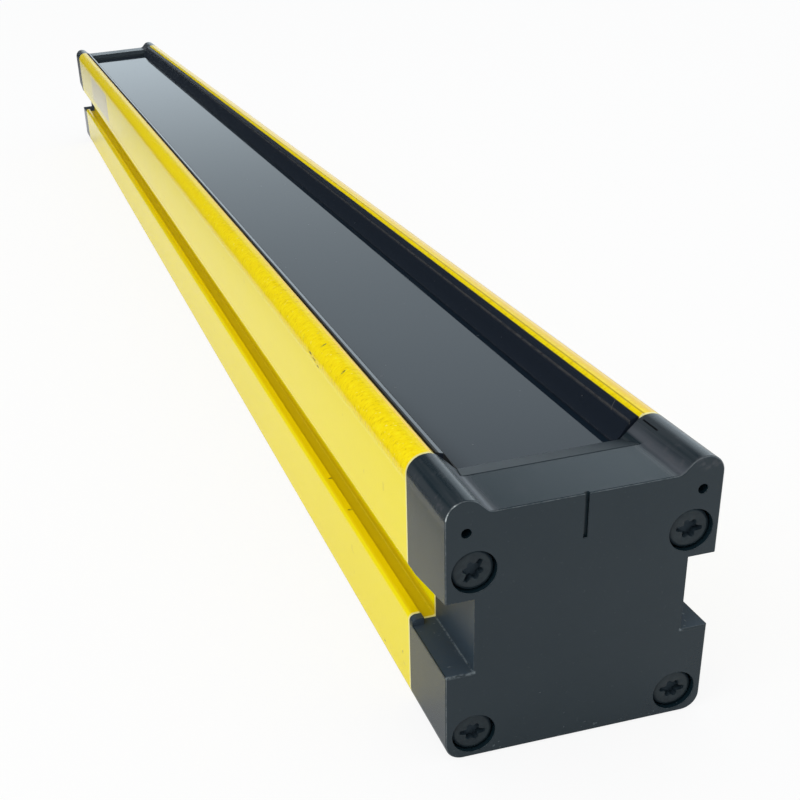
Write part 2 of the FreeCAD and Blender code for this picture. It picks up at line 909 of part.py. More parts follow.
def make_connector_shell():
    body = new_body("connector_shell")
    flange_back = -connector_seal_thickness
    flange_front = flange_back - connector_flange_thickness
    flange = section(body, "ShellFlange", flange_front)
    circle(flange, 0, connector_z, connector_flange_radius)
    add(body, flange, connector_flange_thickness, True)
    shank = section(body, "ShellShank", flange_back)
    regular(shank, 0, connector_z, connector_shank_radius, BORE_FLATS)
    add(body, shank, connector_shank_length, True)
    nose_front = flange_front - connector_nose_length
    nose = section(body, "ShellNose", nose_front)
    circle(nose, 0, connector_z, connector_nose_radius)
    add(body, nose, connector_nose_length, True)
    front = section(body, "ShellFrontBore", nose_front)
    regular(front, 0, connector_z, connector_front_bore_radius, BORE_FLATS)
    whole = connector_nose_length + connector_flange_thickness + connector_shank_length
    cut(body, front, whole, False)
    rear = section(body, "ShellRearBore", flange_back + connector_step_depth)
    regular(rear, 0, connector_z, connector_rear_bore_radius, BORE_FLATS)
    cut(body, rear, connector_shank_length - connector_step_depth, False)
    place(body, half_length, True)
    return finish(body)


def contact_places():
    """Contact axes: a ring of contacts and one in the middle."""
    places = [(as_size(0), connector_z)]
    for index in range(RING_CONTACTS):
        angle = 360.0 * index / RING_CONTACTS
        places.append((
            eastward(contact_circle_radius, angle),
            connector_z + upward(contact_circle_radius, angle),
        ))
    return places


def make_connector_insert():
    body = new_body("connector_insert")
    step_y = -connector_seal_thickness + connector_step_depth
    nose_front = (-connector_seal_thickness - connector_flange_thickness
                  - connector_nose_length)
    insert_front = nose_front + insert_front_recess
    front = section(body, "InsertFront", insert_front)
    front_radius = connector_front_bore_radius - connector_fit_gap
    regular(front, 0, connector_z, front_radius, BORE_FLATS)
    add(body, front, step_y - insert_front, True)
    collar = section(body, "InsertCollar", step_y)
    collar_radius = connector_rear_bore_radius - connector_fit_gap
    regular(collar, 0, connector_z, collar_radius, BORE_FLATS)
    add(body, collar, insert_collar_length, True)
    holes = section(body, "InsertHoles", insert_front)
    for x, z in contact_places():
        regular(holes, x, z, contact_radius + connector_fit_gap / 2, SMALL_FLATS)
    cut(body, holes, step_y - insert_front + insert_collar_length, False)
    place(body, half_length, True)
    return finish(body)


def make_connector_contacts():
    step_y = -connector_seal_thickness + connector_step_depth
    nose_front = (-connector_seal_thickness - connector_flange_thickness
                  - connector_nose_length)
    insert_front = nose_front + insert_front_recess
    start = insert_front - contact_front_length
    length = (contact_front_length + step_y - insert_front
              + insert_collar_length + contact_rear_length)
    contacts = []
    for x, z in contact_places():
        contact = doc.addObject("Part::Prism", "Contact")
        contact.Polygon = SMALL_FLATS
        bind_prism(contact, contact_radius, length, (x, start, z))
        contacts.append(contact)
    group = doc.addObject("Part::Compound", "connector_contacts")
    group.Label = "connector_contacts"
    group.Links = contacts
    place(group, half_length, True)
    return finish(group)


def make_connector_nut():
    body = new_body("connector_nut")
    outline = section(body, "NutOutline", cap_wall)
    corner_reach = connector_nut_flats / 2 / eastward(as_size(1), 30)
    regular(outline, 0, connector_z, corner_reach, NUT_FLATS)
    regular(outline, 0, connector_z, connector_bore_radius, BORE_FLATS)
    add(body, outline, connector_nut_thickness, True)
    place(body, half_length, True)
    return finish(body)


# Optics: a channel slid into the housing guides, lens plates on its ledges, a
# mask over them and the emitter board on its floor

def make_carrier():
    body = new_body("optics_carrier")
    base_x = guide_x - carrier_gap
    outline = section(body, "CarrierOutline", -carrier_end_y)
    floor_z = carrier_guide_z + carrier_base
    polygon(outline, [
        (-base_x, carrier_guide_z),
        (base_x, carrier_guide_z),
        (base_x, floor_z),
        (carrier_outer_x, floor_z),
        (carrier_outer_x, carrier_top_z),
        (carrier_rim_x, carrier_top_z),
        (carrier_rim_x, carrier_ledge_z),
        (carrier_ledge_x, carrier_ledge_z),
        (carrier_ledge_x, floor_z),
        (-carrier_ledge_x, floor_z),
        (-carrier_ledge_x, carrier_ledge_z),
        (-carrier_rim_x, carrier_ledge_z),
        (-carrier_rim_x, carrier_top_z),
        (-carrier_outer_x, carrier_top_z),
        (-carrier_outer_x, floor_z),
        (-base_x, floor_z),
    ])
    add(body, outline, carrier_end_y * 2, True)
    return finish(body)


def lens_row_start():
    """Y of the near end of the first lens plate."""
    return -carrier_end_y


def lens_places():
    """Y of every lens axis, from the near end on."""
    start = lens_row_start() + lens_pitch / 2
    return [start + lens_pitch * index
            for index in range(MODULE_COUNT * LENSES_PER_MODULE)]


def make_lens_plate(module):
    """One plate with its row of lens crowns."""
    body = new_body("LensPlate")
    plate_x = carrier_rim_x - lens_plate_gap
    reach = lens_pitch * LENSES_PER_MODULE
    start = lens_row_start() + reach * module
    outline = plan(body, "LensPlateOutline", carrier_ledge_z)
    rectangle(outline, -plate_x, plate_x, start, start + reach - lens_plate_gap)
    add(body, outline, lens_plate_thickness, False)
    crowns = plan(body, "LensCrowns", lens_plate_top_z)
    first = module * LENSES_PER_MODULE
    for y in lens_places()[first:first + LENSES_PER_MODULE]:
        regular(crowns, 0, y, lens_radius, SMALL_FLATS)
    crown = add(body, crowns, lens_rise, False)
    crown.TaperAngle = lens_flank_angle.number
    crown.setExpression("TaperAngle", lens_flank_angle.text)
    return body


def make_lens_plates():
    plates = [make_lens_plate(module) for module in range(MODULE_COUNT)]
    group = doc.addObject("Part::Compound", "lens_plates")
    group.Label = "lens_plates"
    group.Links = plates
    return finish(group)


def make_mask():
    body = new_body("aperture_mask")
    mask_x = carrier_rim_x - lens_plate_gap
    outline = plan(body, "MaskOutline", lens_plate_top_z)
    lenses = MODULE_COUNT * LENSES_PER_MODULE
    start = lens_row_start()
    rectangle(outline, -mask_x, mask_x, start,
              start + lens_pitch * lenses - lens_plate_gap)
    for y in lens_places():
        rectangle(outline, -mask_opening / 2, mask_opening / 2,
                  y - mask_opening / 2, y + mask_opening / 2)
    add(body, outline, mask_thickness, False)
    return finish(body)


def make_emitter_board():
    body = new_body("emitter_board")
    outline = plan(body, "EmitterBoardOutline", emitter_board_z)
    rectangle(outline, -emitter_board_half_width, emitter_board_half_width,
              -carrier_end_y, carrier_end_y)
    add(body, outline, circuit_thickness, False)
    return finish(body)


def make_emitters():
    chips = []
    for y in lens_places():
        chip = doc.addObject("Part::Box", "Emitter")
        bind_box(chip, (emitter_width, emitter_length, emitter_height),
                 (-emitter_width / 2, y - emitter_length / 2, emitter_board_top_z))
        chips.append(chip)
    group = doc.addObject("Part::Compound", "light_elements")
    group.Label = "light_elements"
    group.Links = chips
    return finish(group)


def make_display():
    body = new_body("status_display")
    outline = plan(body, "DisplayOutline", carrier_ledge_z)
    width_x = carrier_rim_x - lens_plate_gap
    far_y = carrier_end_y - lens_plate_gap
    rectangle(outline, -width_x, width_x, far_y - display_length, far_y)
    add(body, outline, circuit_thickness, False)
    block = plan(body, "DisplayBlock", carrier_ledge_z + circuit_thickness)
    rectangle(block, -display_width / 2, display_width / 2,
              far_y - display_length, far_y)
    add(body, block, display_height - circuit_thickness, False)
    return finish(body)


# Main board, the parts on it, the flat cable to the emitter board and the lead
# bundle from the connector

def make_main_board():
    body = new_body("main_board")
    outline = plan(body, "MainBoardOutline", board_guide_z)
    board_x = guide_x - carrier_gap
    rectangle(outline, -board_x, board_x,
              -main_board_length / 2, main_board_length / 2)
    add(body, outline, circuit_thickness, False)
    return finish(body)


def make_board_parts():
    block = (block_side, block_side, block_height)
    large_chip = (large_chip_side, large_chip_side, chip_height)
    small_chip = (small_chip_side, small_chip_side, chip_height)
    header = (header_width, header_length, header_height)
    stations = [-main_board_length / 2 + part_pitch * (step + 0.5) for step in range(6)]
    header_start = main_board_length / 2 - header_length
    layout = [
        (block, -block_gap / 2 - block_side, stations[0]),
        (block, block_gap / 2, stations[0]),
        (large_chip, -large_chip_side / 2, stations[1]),
        (small_chip, -block_gap / 2 - small_chip_side, stations[2]),
        (small_chip, block_gap / 2, stations[3]),
        (large_chip, -large_chip_side / 2, stations[4]),
        (block, -block_side / 2, stations[5]),
        (header, -header_width / 2, header_start),
    ]
    blocks = []
    for sizes, x, y in layout:
        item = doc.addObject("Part::Box", "BoardPart")
        bind_box(item, sizes, (x, y, main_board_top_z))
        blocks.append(item)
    group = doc.addObject("Part::Compound", "board_parts")
    group.Label = "board_parts"
    group.Links = blocks
    return finish(group)


def make_flat_cable():
    body = new_body("flat_cable")
    turn_y = -(carrier_end_y + flex_clearance)
    lower_end = -main_board_length / 2 + flex_landing
    upper_end = -carrier_end_y + flex_landing
    low = main_board_top_z
    high = emitter_board_top_z
    outline = side_view(body, "FlatCableOutline", -flex_width / 2)
    polygon(outline, [
        (lower_end, low),
        (lower_end, low + flex_thickness),
        (turn_y + flex_thickness, low + flex_thickness),
        (turn_y + flex_thickness, high),
        (upper_end, high),
        (upper_end, high + flex_thickness),
        (turn_y, high + flex_thickness),
        (turn_y, low),
    ])
    add(body, outline, flex_width, False)
    smooth(body, [{"y": turn_y + flex_thickness, "z": low + flex_thickness},
                  {"y": turn_y + flex_thickness, "z": high}],
           flex_bend - flex_thickness)
    smooth(body, [{"y": turn_y, "z": low},
                  {"y": turn_y, "z": high + flex_thickness}], flex_bend)
    return finish(body)


def make_lead_bundle():
    body = new_body("lead_bundle")
    insert_back = (-connector_seal_thickness + connector_step_depth
                   + insert_collar_length)
    start_y = half_length - insert_back - contact_rear_length
    end_y = main_board_length / 2
    end_z = main_board_top_z + header_height / 2
    spine = side_view(body, "LeadPath", 0)
    corners = [
        (start_y, connector_z),
        (start_y - lead_straight, connector_z),
        (end_y + lead_straight, end_z),
        (end_y, end_z),
    ]
    for index in range(3):
        first = corners[index]
        after = corners[index + 1]
        spine.addGeometry(Part.LineSegment(
            FreeCAD.Vector(first[0].number, first[1].number, 0),
            FreeCAD.Vector(after[0].number, after[1].number, 0)), False)
    for index in range(2):
        spine.addConstraint(
            Sketcher.Constraint("Coincident", index, 2, index + 1, 1))
    for index in range(3):
        pin_point(spine, index, 1, corners[index][0], corners[index][1])
    pin_point(spine, 2, 2, corners[3][0], corners[3][1])
    ring = section(body, "LeadSection", start_y)
    regular(ring, 0, connector_z, lead_radius, SMALL_FLATS)
    doc.recompute()
    pipe = body.newObject("PartDesign::AdditivePipe", "LeadPipe")
    pipe.Profile = ring
    pipe.Spine = (spine, ["Edge1", "Edge2", "Edge3"])
    pipe.Transition = "Round corner"
    doc.recompute()
    return finish(body)


make_housing()
make_window()
make_window_seal("left_window_seal", -1)
make_window_seal("right_window_seal", 1)
make_trim("left_window_trim", -1)
make_trim("right_window_trim", 1)
make_cap("near_end_cap", False)
make_cap("far_end_cap", True)
make_strip("near_window_strip", False)
make_strip("far_window_strip", True)
make_gasket("near_cap_gasket", False)
make_gasket("far_cap_gasket", True)
make_screws("near_cap_screws", False)
make_screws("far_cap_screws", True)
make_connector_seal()
make_connector_shell()
make_connector_insert()
make_connector_contacts()
make_connector_nut()
make_carrier()
make_lens_plates()
make_mask()
make_emitter_board()
make_emitters()
make_display()
make_main_board()
make_board_parts()
make_flat_cable()
make_lead_bundle()

# Checks and export

doc.recompute()
for item in doc.Objects:
    if "Invalid" in item.State or "Error" in item.State:
        raise RuntimeError("bad object " + item.Label)
os.makedirs("parts", exist_ok=True)
for piece in pieces:
    shape = piece.Shape
    if shape.isNull() or not shape.isValid():
        raise RuntimeError("bad shape " + piece.Label)
    shape.exportStep("parts/" + piece.Label + ".step")
    print(piece.Label, len(shape.Solids), round(shape.Volume, 1))
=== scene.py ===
# %% [markdown]
# # A safety light curtain bar
# The object is a long aluminium bar that guards a machine with a row of light
# beams. It lies on its flat back. Its front window looks up along +Z, the bar
# runs along Y, and the plain end cap is at the -Y end. The solids that were
# measured come in first, as a frame that never moves. Every piece
# made here is laid over that frame in the same metres.

# %% Load the measured solids
import functools
import math

import bmesh
import bpy
import numpy as np
from mathutils import Matrix, Vector
from mathutils.geometry import tessellate_polygon


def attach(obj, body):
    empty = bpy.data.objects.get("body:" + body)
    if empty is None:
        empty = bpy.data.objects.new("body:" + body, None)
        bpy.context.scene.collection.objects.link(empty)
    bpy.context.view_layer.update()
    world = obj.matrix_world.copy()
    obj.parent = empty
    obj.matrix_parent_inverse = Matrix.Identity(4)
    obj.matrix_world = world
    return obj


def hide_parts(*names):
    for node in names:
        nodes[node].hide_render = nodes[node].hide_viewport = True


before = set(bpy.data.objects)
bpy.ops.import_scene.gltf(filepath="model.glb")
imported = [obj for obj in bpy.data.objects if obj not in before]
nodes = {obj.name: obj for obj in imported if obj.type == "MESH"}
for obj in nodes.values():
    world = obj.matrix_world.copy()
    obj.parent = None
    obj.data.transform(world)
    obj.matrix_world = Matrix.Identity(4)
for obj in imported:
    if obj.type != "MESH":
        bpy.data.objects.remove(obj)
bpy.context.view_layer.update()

# %% [markdown]
# # Numbers that the pieces share
# The section of the bar is drawn in millimetres, as a maker would read it off a
# drawing, and turned into metres once, when a surface becomes a mesh. Pieces
# that meet take their sizes from the same names, so nothing has to be fitted
# by eye. The finishes use the same names for the places of their marks.

# %% Sizes in millimetres
MM = 0.001
half_width = 26.0
bar_height = 55.5
half_length = 332.0
cap_length = 19.4
half_span = half_length - cap_length    # the profile, from the middle to a cap
window_top = 50.1
slot_wall = 20.55                       # back wall of a side slot
slot_floor = 19.5
slot_roof = 33.8
lower_lip = 21.0                        # top of the lip under a slot's mouth
upper_lip = 32.3                        # underside of the lip over it
lip_depth = 2.4
lip_inside = half_width - lip_depth
seat = 20.3                            # inner face of a lug, where the trim leans
shoulder = 47.6                         # ledge that carries the window and the trims
barb_reach = 21.2                       # groove for the barb of a trim
barb_low, barb_high = 51.4, 52.6
groove_x = 21.26                        # fine line along the top of the right lug
head_sink = 0.7                         # screw heads below the face of a cap
upper_screw = (20.6, 41.0)
lower_screw = (20.45, 5.3)
print("profile runs from", -half_span, "to", half_span)

# %% [markdown]
# # From a formula to a mesh
# Each surface is a grid of points: one direction of the grid goes round the
# section, the other goes along the bar or out from an axis. A grid turns into
# four-sided faces by joining each point to its neighbours, which numpy does for
# all faces at once. Loops that close on themselves join their last point to
# their first.

# %% Grid faces
def grid_faces(rows, columns):
    """Corner numbers of the faces between neighbouring rows of a grid whose last column joins the first."""
    index = np.arange(rows * columns).reshape(rows, columns)
    after = np.roll(index, -1, axis=1)
    return np.stack([index[:-1], after[:-1], after[1:], index[1:]], axis=-1).reshape(-1, 4)


def closed_tube(grid):
    """The grid with the faces between its rows and one flat face over its first and its last row."""
    rows, columns = grid.shape[:2]
    ends = [tuple(range(columns)), tuple(range((rows - 1) * columns, rows * columns))]
    return grid, list(grid_faces(rows, columns)) + ends


def hand_over(piece, node):
    """Even out the shading, say what the piece rides on, and hide the solid that it stands for.

    Large faces rule the shading, so flats stay flat and only the rounds between them bend the light.
    """
    even = piece.modifiers.new("shading", "WEIGHTED_NORMAL")
    even.mode = "FACE_AREA"
    even.keep_sharp = True
    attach(piece, "root")
    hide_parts(node)
    print(piece.name, "faces:", len(piece.data.polygons))


def lay(name, parts, finish, node, sharp=35.0):
    """Join point grids in millimetres and their faces into one mesh in metres, with outward faces."""
    points, faces, start = [], [], 0
    for grid, corners in parts:
        flat = np.asarray(grid, float).reshape(-1, 3)
        points.append(flat)
        faces.extend([tuple(int(i) + start for i in face) for face in corners])
        start += len(flat)
    mesh = bpy.data.meshes.new(name)
    mesh.from_pydata(np.concatenate(points) * MM, [], faces)
    made = bmesh.new()
    made.from_mesh(mesh)
    bmesh.ops.remove_doubles(made, verts=made.verts, dist=2e-7)
    bmesh.ops.dissolve_degenerate(made, edges=made.edges, dist=1e-7)
    bmesh.ops.recalc_face_normals(made, faces=made.faces)
    made.to_mesh(mesh)
    made.free()
    mesh.shade_smooth()
    mesh.set_sharp_from_angle(angle=math.radians(sharp))
    mesh.materials.append(finish)
    piece = bpy.data.objects.new(name, mesh)
    bpy.context.collection.objects.link(piece)
    hand_over(piece, node)


# %% [markdown]
# # Outlines with rounded corners
# Extruded and moulded parts have no perfectly sharp corners. An outline is
# listed as corners with a radius each, and every corner is exchanged for a
# small arc. The alternative is a bevel on the finished mesh, but here each
# corner can have its own radius.

# %% Rounded outline
def rounded(corners, steps=9):
    """Closed outline from rows of x, z and radius.

    The centre of each arc lies on the bisector of its corner, at the radius
    divided by the sine of half the angle. The arc turns the first radius into
    the last: each point is their sum, weighted by the sines of the two shares
    of the swing.
    """
    corners = np.asarray(corners, float)
    point = corners[:, :2]
    radius = np.maximum(corners[:, 2], 1e-9)
    back = np.roll(point, 1, axis=0) - point
    ahead = np.roll(point, -1, axis=0) - point
    back /= np.linalg.norm(back, axis=1)[:, None]
    ahead /= np.linalg.norm(ahead, axis=1)[:, None]
    half = np.arccos(np.clip((back * ahead).sum(axis=1), -1, 1)) / 2
    bisector = back + ahead
    bisector /= np.linalg.norm(bisector, axis=1)[:, None]
    centre = point + bisector * (radius / np.sin(half))[:, None]
    reach = (radius / np.tan(half))[:, None]
    first = (point + back * reach - centre)[:, None]
    last = (point + ahead * reach - centre)[:, None]
    swing = (np.pi - 2 * half)[:, None]
    share = np.linspace(0, 1, steps)[None]
    arc = (np.sin((1 - share) * swing)[..., None] * first
           + np.sin(share * swing)[..., None] * last) / np.sin(swing)[..., None]
    keep = (corners[:, 2] > 0)[:, None] | (share == 0)
    return (centre[:, None] + arc)[keep]


def mirror_outline(right):
    """A whole outline from its right half, given from the bottom up. The left half has x reversed."""
    right = np.asarray(right, float)
    left = right[::-1] * np.array([-1.0, 1.0, 1.0])
    return np.concatenate([right, left])


def inset(loop, distance):
    """The outline moved inwards: each point goes back along the mean normal of its two sides."""
    side = np.roll(loop, -1, axis=0) - loop
    normal = np.stack([side[:, 1], -side[:, 0]], axis=1)
    normal /= np.maximum(np.linalg.norm(normal, axis=1), 1e-12)[:, None]
    mean = normal + np.roll(normal, 1, axis=0)
    mean /= np.maximum(np.linalg.norm(mean, axis=1), 1e-12)[:, None]
    return loop - mean * distance


def at(loop, y):
    """Points in space of an outline of x and z that stands upright at one Y."""
    return np.column_stack([loop[:, 0], np.full(len(loop), y), loop[:, 1]])


# %% Carry an outline along the bar
def carried(loop, stations):
    """Walls of an outline carried along Y. Each station is a Y and how far the outline shrinks there."""
    grid = np.stack([at(inset(loop, shrink), y) for y, shrink in stations])
    return grid, grid_faces(len(stations), len(loop))


def end_plate(loops, y):
    """Flat end between an outline and the holes in it, as triangles."""
    flat = [[Vector((x, z, 0.0)) for x, z in loop] for loop in loops]
    return at(np.concatenate(loops), y), [tuple(face) for face in tessellate_polygon(flat)]


def round_hole(x, z, radius, count=32):
    """Points of a circle, from the cosine and sine of evenly spaced angles."""
    turn = np.linspace(0, 2 * np.pi, count, endpoint=False)
    return np.column_stack([x + radius * np.cos(turn), z + radius * np.sin(turn)])


# %% [markdown]
# # A way to write finishes as sums
# A finish is a small network of nodes. Written by hand that takes many lines,
# so one class stands for the output of a node and lets it be added and
# multiplied like a number, and one method makes every other kind of node. The
# room round the object is such a network too. Where a mark begins and ends is
# written in millimetres, as the pieces are.

# %% Shader arithmetic
class Wire:
    """A value that runs between nodes. Sums of wires become Math nodes."""

    def __init__(self, network, socket):
        self.network = network
        self.socket = socket

    def worked(self, way, *values):
        return self.network.node("ShaderNodeMath", {"operation": way}, dict(enumerate(values)))

    def __add__(self, other):
        return self.worked("ADD", self, other)

    def __sub__(self, other):
        return self.worked("SUBTRACT", self, other)

    def __rsub__(self, other):
        return self.worked("SUBTRACT", other, self)

    def __mul__(self, other):
        return self.worked("MULTIPLY", self, other)

    def __abs__(self):
        return self.worked("ABSOLUTE", self)

    def lower_of(self, other):
        return self.worked("MINIMUM", self, other)

    def higher_of(self, other):
        return self.worked("MAXIMUM", self, other)

    __radd__ = __add__
    __rmul__ = __mul__


class Network:
    """The nodes of a material or of the world, made one by one."""

    def __init__(self, owner):
        owner.use_nodes = True
        self.tree = owner.node_tree
        self.tree.nodes.clear()

    def node(self, kind, settings=None, sockets=None, output=0):
        """Add a node of one kind, with its settings first and then its sockets, and hand back one output."""
        made = self.tree.nodes.new(kind)
        for key, value in (settings or {}).items():
            setattr(made, key, value)
        for key, value in (sockets or {}).items():
            if isinstance(value, Wire):
                self.tree.links.new(value.socket, made.inputs[key])
            else:
                made.inputs[key].default_value = value
        return Wire(self, made.outputs[output]) if len(made.outputs) else None

    def split(self, vector):
        """The three parts of a vector."""
        first = self.node("ShaderNodeSeparateXYZ", None, {0: vector})
        return [Wire(self, output) for output in first.socket.node.outputs]

    def ramp(self, value, low, high):
        """0 below low, 1 above high and a smooth rise between; it falls instead if low is the larger."""
        return self.node("ShaderNodeMapRange", {"interpolation_type": "SMOOTHSTEP"}, {
            "Value": value, "From Min": low, "From Max": high})

    def ray(self, kind):
        """1 for the rays of one kind and 0 for all others."""
        return self.node("ShaderNodeLightPath", output=kind)

    def blended(self, share, first, second):
        """One shader turning into another."""
        return self.node("ShaderNodeMixShader", None, {0: share, 1: first, 2: second})


class Finish(Network):
    """One material. Its x, y and z are the place on the object in millimetres."""

    def __init__(self, name):
        self.material = bpy.data.materials.new(name)
        super().__init__(self.material)
        self.place = self.node("ShaderNodeTexCoord", output="Object")
        self.x, self.y, self.z = [part * (1 / MM) for part in self.split(self.place)]

    def stretched(self, x=1.0, y=1.0, z=1.0, turn=0.0):
        """The place on the object, turned about its z axis and pulled out along its axes."""
        turned = self.node("ShaderNodeMapping", None, {"Vector": self.place, "Rotation": (0.0, 0.0, turn)})
        return self.node("ShaderNodeMapping", None, {"Vector": turned, "Scale": (x, y, z)})

    def noise(self, scale, detail=3.0, rough=0.5, where=None):
        """Soft random values between 0 and 1, with so many lumps to the metre."""
        return self.node("ShaderNodeTexNoise", None, {
            "Vector": where or self.place, "Scale": scale, "Detail": detail, "Roughness": rough})

    def band(self, value, foot, rise, fall, end):
        """1 from rise to fall, with a smooth way up from foot and a smooth way down to end."""
        return self.ramp(value, foot, rise) * self.ramp(value, end, fall)

    def stripe(self, value, middle, reach, core):
        """1 within core of the middle, falling to 0 at reach from it."""
        return self.ramp(abs(value - middle), reach, core)

    def spot(self, axis, y, across, half_long, half_wide):
        """1 in the middle of a small oval mark on Y and one other axis, falling to 0 at its edge."""
        along = (self.y - y) * (1 / half_long)
        beside = (axis - across) * (1 / half_wide)
        return self.ramp(along * along + beside * beside, 1.0, 0.2)

    def mixed(self, share, first, second):
        """One colour turning into another. A colour is a wire, or red, green and blue."""
        first, second = [tone if isinstance(tone, Wire) else (*tone, 1.0) for tone in (first, second)]
        return self.node("ShaderNodeMix", {"data_type": "RGBA"}, {0: share, 6: first, 7: second}, 2)

    def layered(self, colour, *layers):
        """Colours laid over a first one, in order, each by its own share."""
        for share, tone in layers:
            colour = self.mixed(share, colour, tone)
        return colour

    def bumped(self, height, depth):
        """A normal tilted by the slope of a height, where depth is the real height of a full step."""
        return self.node("ShaderNodeBump", None, {"Height": height, "Distance": depth * MM, "Strength": 1.0})

    def close(self, **sockets):
        """Finish with the surface shader. Names are the shader's own, with _ for a space."""
        sockets = {key.replace("_", " "): value for key, value in sockets.items()}
        shader = self.node("ShaderNodeBsdfPrincipled", None, sockets)
        self.node("ShaderNodeOutputMaterial", None, {"Surface": shader})
        print("made", self.material.name)
        return self.material


# %% [markdown]
# # Yellow powder coat
# The bar is an aluminium extrusion with a baked powder coat. Powder leaves a
# fine orange peel, a strong colour and a half gloss. On the two lugs that stand
# proud of the window the coat is rubbed, most of all towards the near end, with
# short marks across it and a few dark scuffs. Where the bar was sawn to length
# the bare metal shows as a thin pale line. The deeper yellow of the lugs is partly
# painted shade, and painted light and shade also lie in the slots, along the fine
# groove, on the edges of the lugs and at one corner of the cut. All of it is
# worked out from the place on the bar, so no picture is needed.

# %% Finish of the housing
scuffs_on_wall = [    # y and z of the middle, half length, half width
    (-246.6, 51.9, 1.6, 0.34), (-249.8, 51.45, 2.0, 0.26), (-252.6, 50.85, 1.7, 0.24),
    (-296.4, 4.2, 0.5, 0.3), (-308.2, 9.2, 0.55, 0.35)]
scuffs_on_top = [     # y and x of the middle, half length, half width
    (-251.2, -23.9, 0.42, 0.95), (-267.8, -24.2, 0.42, 0.85)]


